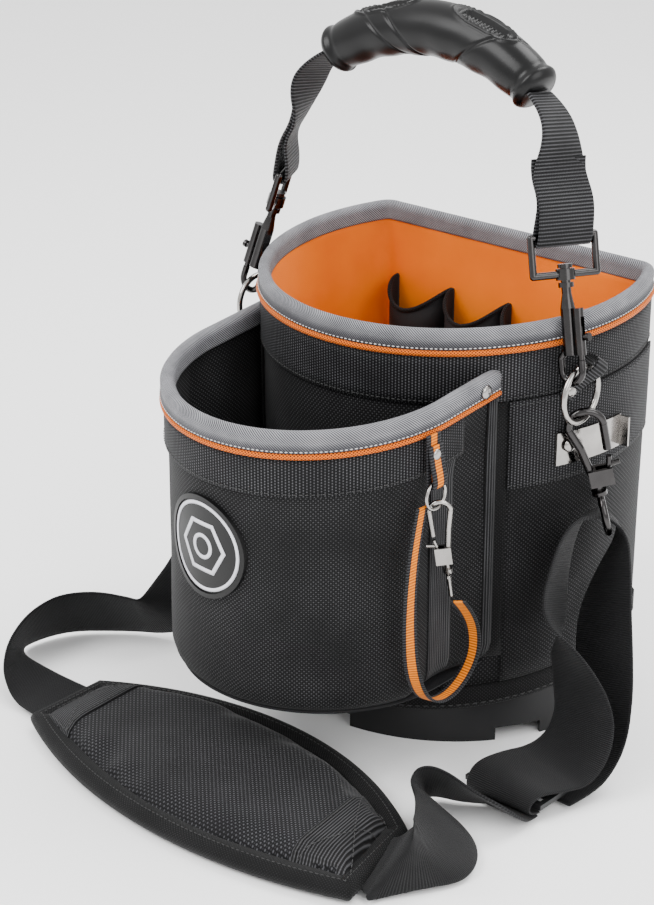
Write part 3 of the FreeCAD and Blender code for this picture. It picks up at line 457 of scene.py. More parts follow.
def main_plan():
    """Round front from the left corner to the right one, then the flat back."""
    edge = math.asin((BUCKET_BACK - BUCKET_CENTRE) / BUCKET_RADIUS)
    inset, steps, back_steps = 0.045, 132, 40
    start, stop = edge - inset, -math.pi - edge + inset
    arc = [start + (stop - start) * i / steps for i in range(steps, -1, -1)]
    front = [(BUCKET_RADIUS * math.cos(a), BUCKET_CENTRE + BUCKET_RADIUS * math.sin(a)) for a in arc]
    half = BUCKET_RADIUS * math.cos(edge)
    end = half - BACK_CORNER
    right = rounded(front[-1], (half, BUCKET_BACK), (end, BUCKET_BACK), (0.25, 0.5, 0.75, 1.0))
    back = [(end - 2 * end * i / back_steps, BUCKET_BACK) for i in range(1, back_steps)]
    left = rounded((-end, BUCKET_BACK), (-half, BUCKET_BACK), front[0], (0.0, 0.25, 0.5, 0.75))
    tapers = [1.0] * len(front) + [0.4] * len(right) + [0.0] * len(back) + [0.4] * len(left)
    return Plan(front + right + back + left, tapers, True)


def pouch_plan():
    """Straight sides and round front of the pouch, from the left side round to the right."""
    steps, turns = 12, 90
    side = POUCH_CENTRE - POUCH_BACK
    points = [(-POUCH_RADIUS, POUCH_BACK + side * i / steps) for i in range(steps)]
    points += [(POUCH_RADIUS * math.cos(a), POUCH_CENTRE + POUCH_RADIUS * math.sin(a))
               for a in [math.pi + math.pi * i / turns for i in range(turns + 1)]]
    points += [(POUCH_RADIUS, POUCH_CENTRE - side * i / steps) for i in range(1, steps + 1)]
    return Plan(points, [0.0] * len(points), False)


def main_rim(point):
    return (289.7 + 0.0514 * point.y / MM) * MM


def pouch_rim(point):
    return (265.07 + 0.0957 * point.y / MM) * MM


def seam(point):
    return (44.0 + 0.1405 * point.y / MM) * MM


def below(rim, drop):
    """Height function, a drop in millimetres under a rim or seam."""
    return lambda point: rim(point) - drop * MM


def level(height):
    """Height function of a level line, in millimetres."""
    return lambda point: height * MM


def arc_lengths(section):
    """Distance round a closed section, in metres."""
    return [length * MM for length in runs([(a, b, 0) for a, b in section], True)]


def sweep(name, plan, section, rim, finish, body="bucket", wobble=0.0):
    """Closed section of (outward, height over the rim), in millimetres, along a plan."""
    rows = []
    for i, point in enumerate(plan.points):
        sway = wobble * noise.noise(point * 40.0)
        rows.append([plan.at(i, out + sway, rim(point) + high * MM) for out, high in section])
    return grid(name, rows, plan.along, arc_lengths(section), finish, body, plan.loop)


def wall(name, plan, out, gauge, low, high, finish, swell=0.0, shape=None, steps=14):
    """Cloth wall between two height functions, a little uneven, out from the plan."""
    rows, heights = [], []
    for i, point in enumerate(plan.points):
        bottom, top = low(point), high(point)
        ring = []
        for face, order in ((out, range(steps + 1)), (out - gauge, range(steps, -1, -1))):
            for k in order:
                t = k / steps
                z = bottom + (top - bottom) * t
                ease = math.sin(math.pi * t) ** 0.5 if 0 < t < 1 else 0.0
                wave = swell * ease * noise.noise(Vector((point.x * 22, point.y * 22, z * 14)))
                if shape:
                    wave += shape(point, t)
                ring.append(plan.at(i, face + wave, z))
        rows.append(ring)
        heights = heights or [z * (top - bottom) / steps for z in range(steps + 1)]
    around = heights + [heights[-1] + gauge * MM + h for h in heights]
    around.append(around[-1] + gauge * MM)
    return grid(name, rows, plan.along, around, finish, loop=plan.loop)


def stitches(name, points, ups, finish="pale_thread", long=2.2, gap=1.3, thick=0.55, body="bucket"):
    """Row of sewn stitches on a line; ups point out of the cloth."""
    mesh = bpy.data.meshes.new(name)
    verts, faces = [], []
    along = runs(points)
    place, k = 0.0, 0
    while place + long * MM < along[-1]:
        ends = []
        for at in (place, place + long * MM):
            while k < len(along) - 2 and along[k + 1] < at:
                k += 1
            t = (at - along[k]) / max(along[k + 1] - along[k], 1e-9)
            ends.append((points[k].lerp(points[k + 1], t), ups[k].lerp(ups[k + 1], t)))
        (a, up), (b, _) = ends
        way = (b - a).normalized()
        side = way.cross(up).normalized()
        faces += ring_faces(4, 6, len(verts))
        faces += [tuple(len(verts) + end + turn for turn in range(6)) for end in (0, 18)]
        for share, size in ((0.0, 0.35), (0.25, 1.0), (0.75, 1.0), (1.0, 0.35)):
            spot = a.lerp(b, share)
            for turn in range(6):
                angle = turn * math.pi / 3
                swing = side * math.cos(angle) + up * math.sin(angle)
                verts.append(spot + swing * (thick * MM * size * 0.5))
        place += (long + gap) * MM
        k = max(k - 2, 0)
    mesh.from_pydata(verts, [], faces)
    return finish_mesh(name, mesh, finish, body)


def seam_stitches(name, plan, out, height, finish="pale_thread", **sizes):
    """Stitches along a plan at a height function."""
    points = [plan.at(i, out, height(p)) for i, p in enumerate(plan.points)]
    ups = list(plan.outward)
    if plan.loop:
        points.append(points[0])
        ups.append(ups[0])
    return stitches(name, points, ups, finish, **sizes)


# ---- straps
def nurbs(name, points):
    """Smooth open curve with these control points."""
    data = bpy.data.curves.new(name, "CURVE")
    data.dimensions = "3D"
    spline = data.splines.new("NURBS")
    spline.points.add(len(points) - 1)
    for spot, point in zip(spline.points, points):
        spot.co = (*point, 1.0)
    spline.order_u = 3
    spline.use_endpoint_u = True
    spline.resolution_u = 10
    obj = bpy.data.objects.new(name, data)
    FREE.objects.link(obj)
    return obj


def read_line(points):
    """Points along the smooth curve, as Blender gives them."""
    obj = nurbs("guide", points)
    bpy.context.view_layer.update()
    mesh = bpy.data.meshes.new_from_object(obj)
    line = [v.co.copy() for v in mesh.vertices]
    bpy.data.meshes.remove(mesh)
    bpy.data.objects.remove(obj)
    return line


WEB_TOP = [(-0.97, 0.8), (-0.9, 1), (-0.45, 1), (0, 1), (0.45, 1), (0.9, 1), (0.97, 0.8)]
WEB_SECTION = [(-1, 0)] + WEB_TOP + [(1, 0)] + [(-share, -high) for share, high in WEB_TOP]


def ribbon(name, stations, width, gauge, finish, body="bucket", spot=None):
    """Woven strap along stations (x, y, z, width direction, share of the width), in millimetres."""
    spot = spot or Matrix()
    centres, lefts, rights = [], [], []
    for x, y, z, dx, dy, dz, *share in stations:
        centre = Vector((x, y, z)) * MM
        side = Vector((dx, dy, dz)).normalized() * (width * MM / 2 * (share[0] if share else 1.0))
        centres.append(centre)
        lefts.append(centre - side)
        rights.append(centre + side)
    line, left, right = read_line(centres), read_line(lefts), read_line(rights)
    along = runs(line)
    rows = []
    for i, centre in enumerate(line):
        ahead = line[min(i + 1, len(line) - 1)] - line[max(i - 1, 0)]
        side = (right[i] - left[i]) / 2
        lift = ahead.cross(side).normalized() * (gauge * MM / 2)
        rows.append([spot @ (centre + side * share + lift * high) for share, high in WEB_SECTION])
    across = [share * width * MM / 2 for share, _ in WEB_SECTION + WEB_SECTION[:1]]
    return grid(name, rows, along, across, finish, body), [spot @ p for p in line], along[-1]


STRAP_LEFT = [
    (-142, -202, 4, 0, 1, 0), (-160, -202, 4, 0, 1, 0), (-177, -200, 5, -0.1, 1, -0.1),
    (-194, -197, 9, -0.3, 0.9, -0.25), (-206, -193, 12, -0.45, 0.8, -0.36),
    (-215, -184, 17, -0.5, 0.67, -0.56), (-219, -171, 21, -0.48, 0.47, -0.74),
    (-219, -153, 23, -0.37, 0.48, -0.8), (-214, -134, 24, -0.25, 0.47, -0.85),
    (-197, -116, 24, -0.2, 0.45, -0.87), (-178, -104, 23, -0.3, 0.48, -0.82),
    (-166, -99, 23, -0.1, 0.6, -0.78), (-155, -92, 28, 0.3, 0.65, -0.68),
    (-150, -79, 39, 0.6, 0.65, -0.5), (-147, -64, 54, 0.7, 0.66, -0.3),
    (-147, -42, 80, 0.65, 0.7, -0.2), (-146, -20, 106, 0.5, 0.8, -0.1, 0.8),
    (-148, 8, 126, 0.6, 0.75, 0, 0.5), (-149, 15.5, 139, 0.66, 0.75, 0, 0.28),
    (-149, 16, 155, 0.66, 0.75, 0, 0.26), (-138.5, 7.2, 155, 0.66, 0.75, 0, 0.26),
    (-138.8, 7.6, 144, 0.66, 0.75, 0, 0.28),
]
STRAP_FOLD = [
    (138, -219, 8, 0.2, -0.97, -0.05, 0.96), (147, -220, 9, 0.2, -0.95, -0.15),
    (155, -222, 13, 0.2, -0.95, -0.3), (162, -230, 18, 0, -0.8, -0.6),
    (171, -230, 25, -0.2, -0.3, -0.93), (178, -219, 28, 0.1, 0.15, -0.98),
    (178, -204, 23, 0.5, 0.25, -0.8), (172, -188, 20, 0.8, 0.2, -0.6),
    (160, -171, 19, 0.8, 0.28, -0.55), (144, -161, 21, 0.35, 0.6, -0.72),
    (128, -156, 22, -0.16, 0.65, -0.75), (122, -150, 23, -0.32, 0.54, -0.78),
    (128, -144, 24, -0.3, 0.53, -0.79), (141, -139, 22, -0.26, 0.58, -0.77),
    (157, -134, 19, -0.3, 0.7, -0.6), (163, -127, 13, -0.65, 0.5, -0.4), (160, -120, 6, -0.93, 0.2, -0.1),
    (156.5, -113, 2.4, -1, 0, 0), (156, -106, 2.2, -1, 0, 0),
]
STRAP_LOOP = [
    (156, -104, 4, 1, 0, 0), (156, -113, 5, 1, 0, 0), (157, -117, 14, 1, 0, 0),
    (159, -109, 22, 0.98, 0.1, -0.15), (166, -92, 22, 0.92, 0.15, -0.3),
    (173, -74, 21, 0.97, 0, -0.22), (177, -60, 31, 1, -0.03, -0.02),
    (175, -50, 46, 0.99, -0.07, 0.15), (168, -46, 60, 0.96, -0.16, 0.24),
    (161, -45, 73, 0.89, -0.33, 0.31), (154, -47, 87, 0.75, -0.52, 0.41),
    (148, -47, 100, 0.33, -0.83, 0.44), (144, -45, 114, 0.24, -0.87, 0.43),
    (141, -38, 131, 0.3, -0.85, 0.43), (139, -27, 150, 0.35, -0.8, 0.45, 0.9),
    (139, -14, 162, 0.4, -0.85, 0.3, 0.6), (141, 2, 161, 0.6, -0.78, 0.1, 0.34),
    (143, 12, 157, 0.65, -0.75, 0, 0.28), (153, 18, 146, 0.7, -0.65, 0.15, 0.4),
    (155, 3, 122, 0.87, -0.3, 0.38, 0.85), (159, -11, 100, 0.9, -0.1, 0.41),
    (167, -20, 73, 0.87, 0, 0.48), (173, -26, 46, 0.9, -0.05, 0.43),
    (176, -34, 21, 0.93, -0.15, 0.33), (174, -50, 9, 0.97, -0.2, 0.12),
    (170, -66, 5, 0.98, -0.18, 0.04), (166, -84, 4, 1, -0.05, 0),
]
LANYARD = [
    (104.5, -131, 199, 0, 1, 0), (105.5, -138, 178, 0, 1, 0), (107, -144, 150, 0.1, 1, 0),
    (108, -146, 120, 0.3, 0.9, 0), (108, -143, 93, 0.6, 0.75, 0), (108, -133, 71, 0.9, 0.35, 0),
    (108, -116, 61, 1, 0, 0), (108, -97, 64, 1, 0, 0), (108, -81, 78, 1, 0, 0),
    (107, -79, 96, 0.9, 0.3, 0), (107, -87, 113, 0.8, 0.5, 0), (107, -96.5, 123.5, 0.7, 0.6, 0),
]


def make_cords():
    """Shoulder strap webbing and the tool lanyard's loop."""
    shoulder, narrow = (50.0, 2.0, "belt"), (10.0, 1.4, "stripe")
    fold, _, _ = ribbon("right_strap_fold", STRAP_FOLD, *shoulder)
    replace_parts(fold, "strap_right_lower")
    bands = (("left_strap", STRAP_LEFT, "strap_left", shoulder, (-0.1425, 0.0081, 0.1599),
              ("strap_hook_left",)),
             ("right_strap_loop", STRAP_LOOP, "strap_right_loop", shoulder, (0.156, -0.100, 0.0095),
              ("strap_slider", "strap_hook_right")),
             ("lanyard_loop", LANYARD, "lanyard_strap", narrow, (0.1045, -0.131, 0.199), ("lanyard_hook",)))
    for name, stations, node, webbing, way_out, others in bands:
        obj, line, length = ribbon(name, stations, *webbing)
        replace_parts(obj, node)
        pieces = [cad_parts[other] for other in others]
        if name == "right_strap_loop":
            pieces.append(fold)


# ---- shoulder pad
def arc_through(a, b, c, count):
    """Points on the circle through three points, from a towards c."""
    ax, ay, bx, by, cx, cy = *a, *b, *c
    area = 2 * (ax * (by - cy) + bx * (cy - ay) + cx * (ay - by))
    sa, sb, sc = ax * ax + ay * ay, bx * bx + by * by, cx * cx + cy * cy
    mx = (sa * (by - cy) + sb * (cy - ay) + sc * (ay - by)) / area
    my = (sa * (cx - bx) + sb * (ax - cx) + sc * (bx - ax)) / area
    start, stop = math.atan2(ay - my, ax - mx), math.atan2(cy - my, cx - mx)
    sweep_angle = (stop - start + math.pi) % (2 * math.pi) - math.pi
    radius = math.hypot(ax - mx, ay - my)
    return [(mx + radius * math.cos(start + sweep_angle * i / count),
             my + radius * math.sin(start + sweep_angle * i / count)) for i in range(count)]


def pad_plan():
    """Outline of the pad on the floor."""
    left_back, right_back = (-141.0, -174.0), (140.0, -184.0)
    right_front, left_front = (155.0, -256.0), (-141.0, -236.0)

    def straight(a, b, count):
        return [(a[0] + (b[0] - a[0]) * i / count, a[1] + (b[1] - a[1]) * i / count) for i in range(count)]

    points = arc_through(left_front, (18.0, -279.0), right_front, 60)
    points += straight(right_front, right_back, 14)
    points += arc_through(right_back, (2.0, -134.0), left_back, 60)
    points += straight(left_back, left_front, 12)
    return Plan(points, [0.0] * len(points), True)


def pad_body(plan):
    """Foam pad: swollen by a cloth simulation from a slightly smaller flat shape."""
    levels = ((-4.0, 2.4), (-2.5, 5.0), (-2.5, 9.0), (-4.5, 12.5))
    rows = [[plan.at(i, out, z * MM) for i in range(len(plan.points))] for out, z in levels]
    count = len(plan.points)
    faces = ring_faces(len(levels), count)
    faces += [tuple(range(count)), tuple((len(levels) - 1) * count + k for k in range(count))]
    mesh = bpy.data.meshes.new("shoulder_pad")
    mesh.from_pydata([p for row in rows for p in row], [], faces)
    obj = finish_mesh("shoulder_pad", mesh, "pad")
    apply(obj, "REMESH", mode="VOXEL", voxel_size=4.5 * MM)
    swell(obj)
    for vertex in obj.data.vertices:
        vertex.co.z = max(vertex.co.z, 1.0 * MM)
    apply(obj, "SMOOTH", factor=0.5, iterations=4)
    apply(obj, "SUBSURF", levels=1)
    for face in obj.data.polygons:
        face.use_smooth = True
    return obj


def apply(obj, kind, **settings):
    """Add a modifier and bake it into the mesh."""
    modifier = obj.modifiers.new(kind, kind)
    for key, value in settings.items():
        setattr(modifier, key, value)
    bpy.context.view_layer.update()
    graph = bpy.context.evaluated_depsgraph_get()
    mesh = bpy.data.meshes.new_from_object(obj.evaluated_get(graph))
    obj.modifiers.clear()
    obj.data = mesh


SWELL_CAP = 9.0 * MM


def swell(obj):
    """Inflate with cloth under pressure, movement capped."""
    rest = [v.co.copy() for v in obj.data.vertices]
    modifier = obj.modifiers.new("Cloth", "CLOTH")
    modifier.settings.use_pressure = True
    modifier.settings.uniform_pressure_force = 5.0
    modifier.settings.effector_weights.gravity = 0.0
    modifier.settings.quality = 6
    scene = bpy.context.scene
    for step in range(1, 21):
        scene.frame_set(step)
    graph = bpy.context.evaluated_depsgraph_get()
    mesh = bpy.data.meshes.new_from_object(obj.evaluated_get(graph))
    obj.modifiers.clear()
    scene.frame_set(1)
    for vertex, start in zip(mesh.vertices, rest):
        move = vertex.co - start
        if move.length > SWELL_CAP:
            move *= SWELL_CAP / move.length
        vertex.co = start + move
    obj.data = mesh


def draped(obj, x, y, lift=0.5):
    """Point in metres on top of a piece, over a place on the floor in millimetres, and its normal."""
    hit, spot, normal, _ = obj.ray_cast(Vector((x * MM, y * MM, 0.2)), Vector((0, 0, -1)))
    if not hit:
        return Vector((x * MM, y * MM, 7.0 * MM)), Vector((0, 0, 1))
    return spot + normal * (lift * MM), normal


def pad_patch(name, pad, corners):
    """Webbing end patch lying on the pad, with its box and cross of stitches."""
    (a, b, c, d), steps, gauge = [Vector(p) for p in corners], 14, 1.3 * MM
    rows = []
    for i in range(steps + 1):
        u = i / steps
        near, far = a.lerp(d, u), b.lerp(c, u)
        tops = [draped(pad, *near.lerp(far, k / steps), 1.1)[0] for k in range(steps + 1)]
        rows.append(tops + [p - Vector((0, 0, gauge)) for p in reversed(tops)])
    side = [(b - a).length * MM * k / steps for k in range(steps + 1)]
    around = side + [side[-1] + gauge + s for s in side] + [2 * (side[-1] + gauge)]
    grid(name, rows, [(d - a).length * MM * i / steps for i in range(steps + 1)], around, "ribs")
    middle = (a + b + c + d) / 4
    inner = [corner.lerp(middle, 0.14) for corner in (a, b, c, d)]
    for number, path in enumerate((inner + inner[:1], (inner[0], inner[2]), (inner[1], inner[3]))):
        sewn_on(f"{name}_stitch_{number + 1}", pad, path, 1.8)


def sewn_on(name, pad, corners, lift=0.7):
    """Stitches draped over the pad between plan points."""
    spots, ups = [], []
    for a, b in zip(corners, corners[1:]):
        for k in range(24):
            spot, up = draped(pad, *a.lerp(b, k / 23), lift)
            spots.append(spot)
            ups.append(up)
    stitches(name, spots, ups, "black_thread", 2.6, 1.0, 0.6)


def make_pad():
    """Shoulder pad, bound edge, end patches and seams."""
    plan = pad_plan()
    pad = pad_body(plan)
    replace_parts(pad, "strap_pad")
    section = [(-13.5, 6.5), (-4, 3.0), (-0.5, 3.2), (1.0, 6.0), (1.2, 9.0), (-0.6, 12.0), (-4, 13.2),
               (-13.5, 12.0)]
    sweep("pad_edge_tape", plan, section, level(0), "edge")
    points = [plan.at(i, -6.0, 13.3 * MM) for i in range(len(plan.points))]
    ups = [Vector((0, 0, 1))] * len(points)
    stitches("pad_edge_stitches", points, ups, "black_thread", 2.4, 1.2, 0.6)
    pad_patch("pad_patch_right", pad, ((150, -252), (137, -190), (98, -176), (110, -266)))
    pad_patch("pad_patch_left", pad, ((-137, -232), (-137, -178), (-102, -166), (-98, -246)))


# ---- bucket
def span(plan, side, low, high):
    """Stretch of a plan on one side between two places along Y, in millimetres."""
    inside = [i for i, p in enumerate(plan.points) if p.x * side > 20 * MM and low * MM <= p.y <= high * MM
              and plan.tapers[i] > 0.5]
    return plan.part(min(inside), max(inside) + 1)


def trim_rim(name, plan, banded, rim, band, binding, proud):
    """Webbing band, piping and binding of a rim, with their stitches.

    The band is its two drops under the rim; the binding is its reach outside and inside.
    """
    low, high = band
    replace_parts(wall(f"{name}_band", banded, 3.0, 1.5, below(rim, low), below(rim, high), "columns", 0.3,
                     steps=5), f"{name}_webbing_band")
    seam_stitches(f"{name}_band_stitches", banded, 3.3, below(rim, low - 2), "black_thread")
    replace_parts(sweep(f"{name}_cord", plan, circle(3.3, -11.2, 2.0), rim, "braid"), f"{name}_piping")
    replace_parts(sweep(f"{name}_tape", plan, tape(*binding), rim, "twill", wobble=0.2), f"{name}_binding")
    seam_stitches(f"{name}_tape_stitches", plan, proud, below(rim, 7.8), long=1.8, gap=1.2, thick=0.75)


def lining_crease(point, t):
    """Soft upright creases of the lining, inward."""
    return -2.0 * abs(noise.noise(Vector((point.x * 26, point.y * 26, t * 1.5))))


def make_bucket(plan):
    """Main compartment: cloth wall, lining, rim trims, side pockets and base welt."""
    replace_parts(wall("bucket_wall", plan, 1.0, 1.6, seam, below(main_rim, 1), "ballistic", 0.4),
                "body_shell")
    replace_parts(wall("lining_cloth", plan, -1.5, 0.9, level(14.3), below(main_rim, 1.5), "lining",
                     shape=lining_crease, steps=24), "orange_lining")
    trim_rim("rim", plan, plan, main_rim, (45, 12.6), (3.6, 4.4), 4.1)
    for side, name in SIDES:
        part = span(plan, side, -45, 88)
        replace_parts(wall(f"side_pocket_cloth_{name}", part, 2.8, 1.4, below(seam, -6.5), below(main_rim, 46),
                         "ballistic", 0.5), f"side_pocket_{name}")
        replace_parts(wall(f"side_band_{name}", part, 4.5, 1.4, below(main_rim, 105), below(main_rim, 45.6),
                         "columns", 0.4), f"side_pocket_band_{name}")
        for drop in (48, 102.5):
            seam_stitches(f"side_band_stitches_{name}_{drop:.0f}", part, 4.7, below(main_rim, drop),
                          "black_thread")
    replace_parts(wall("base_welt_tape", plan, 3.1, 1.3, below(seam, 9), below(seam, -6), "fine", steps=4),
                "base_welt")
    seam_stitches("base_welt_stitches", plan, 3.25, below(seam, 6.4), "black_thread",
                  long=3.4, gap=2.0, thick=0.8)


def circle(out, high, radius, count=10):
    """Round section."""
    turns = [2 * math.pi * k / count for k in range(count)]
    return [(out + radius * math.cos(turn), high + radius * math.sin(turn)) for turn in turns]


def tape(outside, inside):
    """Section of a binding tape folded over a rim: round top, flat flaps."""
    return [(1.4, -8.6), (outside - 0.3, -9.0), (outside + 0.1, -7.6), (outside - 0.4, -4.6),
            (outside, -1.6), (outside, 0.8), (outside * 0.7, 2.9), (outside * 0.25, 4.0),
            (-inside * 0.25, 4.0), (-inside * 0.7, 2.9), (-inside, 0.8), (-inside, -1.6),
            (-inside + 0.4, -4.6), (-inside, -7.6), (-inside + 0.4, -9.0), (-1.4, -8.6)]


def make_tool_pockets():
    """Black tool loops with scalloped tops along the back wall inside."""
    wall_y, foot, crest_low, scallop, steps, levels = 92.6, 55.0, 231.0, 14.0, 28, 8
    first, pitch, half, depth = -75.0, 50.0, 24.3, 25.5
    for number in range(4):
        rows = []
        for k in range(steps + 1):
            turn = math.pi * k / steps
            top = crest_low + scallop * (0.5 + 0.5 * math.cos(2 * turn))
            heights = [foot + (top - foot) * i / levels for i in range(levels + 1)]
            ring = []
            for share, order in ((1.0, heights), (0.94, heights[::-1])):
                x = first + pitch * number + half * share * math.cos(turn)
                y = wall_y - depth * share * math.sin(turn)
                ring += [Vector((x, y, z)) * MM for z in order]
            rows.append(ring)
        rise = [0.022 * i for i in range(levels + 1)]
        around = rise + [0.178 + r for r in rise] + [0.36]
        along = [k * 2.86 * MM for k in range(steps + 1)]
        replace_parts(grid(f"tool_loop_{number + 1}", rows, along, around, "black_lining"),
                    f"tool_pocket_{number + 1}")
        crest = [row[levels] + Vector((0, 0, 0.3 * MM)) for row in rows]
        tube(f"tool_loop_edge_{number + 1}", crest, 1.5, "fine")


def girth(radius, sides):
    """Distances round a circle of a radius in millimetres, in metres."""
    return [2 * math.pi * radius * MM * k / sides for k in range(sides + 1)]


def tube(name, line, radius, finish, sides=8):
    """Round edge tape along a line."""
    rows = []
    for i, centre in enumerate(line):
        ahead = (line[min(i + 1, len(line) - 1)] - line[max(i - 1, 0)]).normalized()
        side = ahead.cross(Vector((0, 0, 1)))
        side = side.normalized() if side.length > 1e-4 else Vector((1, 0, 0))
        up = side.cross(ahead).normalized()
        rows.append([centre + side * a * MM + up * b * MM for a, b in circle(0, 0, radius, sides)])
    return grid(name, rows, runs(line), girth(radius, sides), finish)


# ---- pouch
POUCH_LOW = 58.4
FOLD_FRONT, FOLD_MIDDLE = -125.8, -91.7


def gusset_fold(point, t):
    """Side folds inward between the tapes; the foot tucks under."""
    half = FOLD_MIDDLE - FOLD_FRONT
    share = max(0.0, 1 - ((point.y / MM - FOLD_MIDDLE) / half) ** 2)
    inward = 7.5 * share * min(1.0, max(0.0, (0.97 - t) / 0.18))
    foot = max(0.0, 1 - t / 0.07)
    return -inward - 9.0 * foot ** 2


def make_pouch(plan):
    """Front pouch: wall with folded sides, floor, divider, rim trims and side tapes."""
    last = len(plan.points)
    shell = wall("pouch_cloth", plan, 1.0, 1.6, level(POUCH_LOW), below(pouch_rim, 1), "ballistic", 1.8,
                 gusset_fold, 26)
    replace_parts(shell, "pouch_front", "pouch_gusset_left", "pouch_gusset_right")
    trim_rim("pouch", plan, plan.part(8, last - 8), pouch_rim, (38, 12.8), (4.6, 4.8), 4.9)
    for name, start, stop in (("left_back", 0, 3), ("left_front", 8, 15),
                              ("right_front", last - 15, last - 8), ("right_back", last - 3, last)):
        strip = wall(f"gusset_tape_{name}", plan.part(start, stop), 2.5, 1.3, level(POUCH_LOW + 3),
                     below(pouch_rim, 13.5), "ribs", shape=gusset_fold, steps=26)
        if name == "left_back":
            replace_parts(strip, "gusset_tapes")
    make_pouch_floor(plan)
    make_divider()
    for side, name in SIDES:
        wall(f"pouch_flange_{name}", span(MAIN_PLAN, side, -62, -42), 2.9, 1.5, level(64),
             below(main_rim, 46), "fine")


def make_pouch_floor(plan):
    """Cloth floor of the pouch, a little sagging."""
    count = len(plan.points)
    edge = [plan.at(i, -2.2, 0) for i in range(count)]
    centre = Vector((0, -57.0 * MM, 0))
    points = []
    for share in (0.985, 0.9, 0.7, 0.4, 0.1):
        height = Vector((0, 0, (60.6 - 1.2 * (1 - share)) * MM))
        points += [centre + (point - centre) * share + height for point in edge]
    faces = [(n, n + 1, n + count + 1, n + count) for n in range(4 * count) if (n + 1) % count]
    mesh = bpy.data.meshes.new("pouch_floor_cloth")
    mesh.from_pydata(points, [], faces)
    layer = mesh.uv_layers.new(name="UVMap")
    for loop in mesh.loops:
        layer.data[loop.index].uv = mesh.vertices[loop.vertex_index].co.xy
    obj = finish_mesh("pouch_floor_cloth", mesh, "black_lining")
    apply(obj, "SOLIDIFY", thickness=1.4 * MM)
    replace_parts(obj, "pouch_floor")


def make_divider():
    """Cloth divider from the pouch front to the bucket, swaying a little."""
    hinge, around_hinge, steps = Vector((0, -97.0, 0)), Matrix.Rotation(math.radians(-9), 3, "Z"), 20
    rows = []
    for i in range(steps + 1):
        reach = -94.0 + 90.0 * i / steps
        lean = 2.2 * math.sin(math.pi * i / steps)
        ring = []
        for face, order in ((0.7, range(9)), (-0.7, range(8, -1, -1))):
            for step in order:
                flat = Vector((face + lean * math.sin(math.pi * step / 8), reach, 62.0 + 136.0 * step / 8))
                ring.append((hinge + around_hinge @ flat) * MM)
        rows.append(ring)
    rise = [0.017 * step for step in range(9)]
    around = rise + [0.137 + r for r in rise] + [0.275]
    obj = grid("divider_cloth", rows, [0.0045 * i for i in range(steps + 1)], around, "ballistic")
    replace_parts(obj, "pouch_divider")
    crest = [(row[8] + row[9]) / 2 for row in rows]
    tube("divider_edge", crest, 1.6, "fine")


# ---- handle
RING_OUT, RING_Y, RING_Z = 136.5, -15.0, 246.0
HOOK_REACH, HOOK_LEAN, HANDLE_LEAN = 13.6, math.radians(40), math.radians(-9.5)
HANDLE = (Matrix.Translation(Vector((0, RING_Y - HOOK_REACH * math.sin(HOOK_LEAN),
                                     RING_Z + HOOK_REACH * math.cos(HOOK_LEAN))) * MM)
          @ Matrix.Rotation(HANDLE_LEAN, 4, "X"))


def bell(value, width):
    return math.exp(-(value / width) ** 2)


GRIP_HALF, GRIP_BOW, BOW_CENTRE, FINGER_PITCH = 88.0, 140.0, 57.0, 26.0


def grip_radius(run, turn):
    """Radius of the grip at a run along it (mm from its middle) and a turn from its top to its front."""
    radius = 17.6 + 0.4 * math.cos(2 * turn) - 3.0 * (run / GRIP_HALF) ** 2
    radius += 1.3 * bell(abs(run) - 83.0, 2.4) - 0.4 * bell(abs(run) - 78.0, 2.0)
    underside = 0.5 - 0.5 * math.cos(turn)
    radius -= 0.8 * underside ** 2 * (0.5 + 0.5 * math.cos(2 * math.pi * run / FINGER_PITCH))
    # spiral grooves
    for start, lead in ((-60.0, 13.0), (-44.0, 13.0), (60.0, -13.0)):
        radius -= 1.0 * bell(run - start - lead * turn, 1.3)
    # oval windows with a raised lip and a ribbed slot
    for place in (-36.0, 36.0):
        oval = math.hypot((run - place) / 23.0, (turn - 0.30) / 0.56)
        slot = ((run - place) / 17.0) ** 4 + ((turn - 0.30) / 0.30) ** 4
        radius += 1.2 * bell(oval - 1.0, 0.07)
        if oval < 1.0:
            radius -= 0.8 * min(1.0, (1.0 - oval) * 6)
        if slot < 1.0:
            ribs = 0.5 + 0.5 * math.sin(2 * math.pi * run / 2.9)
            radius -= 3.4 * min(1.0, (1.0 - slot) * 4) - (1.8 * ribs if turn > 0.24 else 0.0)
    rounding = max(0.0, abs(run) - GRIP_HALF + 3.0)
    return radius - 2.2 * (rounding / 3.0) ** 2


def make_grip():
    """Moulded grip on the handle web."""
    steps, sides = 260, 96
    rows = []
    for i in range(steps + 1):
        run = -GRIP_HALF + 2 * GRIP_HALF * i / steps
        angle = run / GRIP_BOW
        out = Vector((math.sin(angle), 0, math.cos(angle)))
        centre = Vector((0, 0, BOW_CENTRE)) + out * GRIP_BOW
        ring = []
        for k in range(sides):
            turn = 2 * math.pi * k / sides
            facing = turn if turn <= math.pi else turn - 2 * math.pi
            radius = grip_radius(run, facing)
            way = out * math.cos(turn) - Vector((0, 1, 0)) * math.sin(turn)
            ring.append(HANDLE @ ((centre + way * radius) * MM))
        rows.append(ring)
    along = [2 * GRIP_HALF * MM * i / steps for i in range(steps + 1)]
    obj = grid("rubber_grip", rows, along, girth(18, sides), "grip", "handle")
    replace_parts(obj, "handle_grip", "handle_web_core")


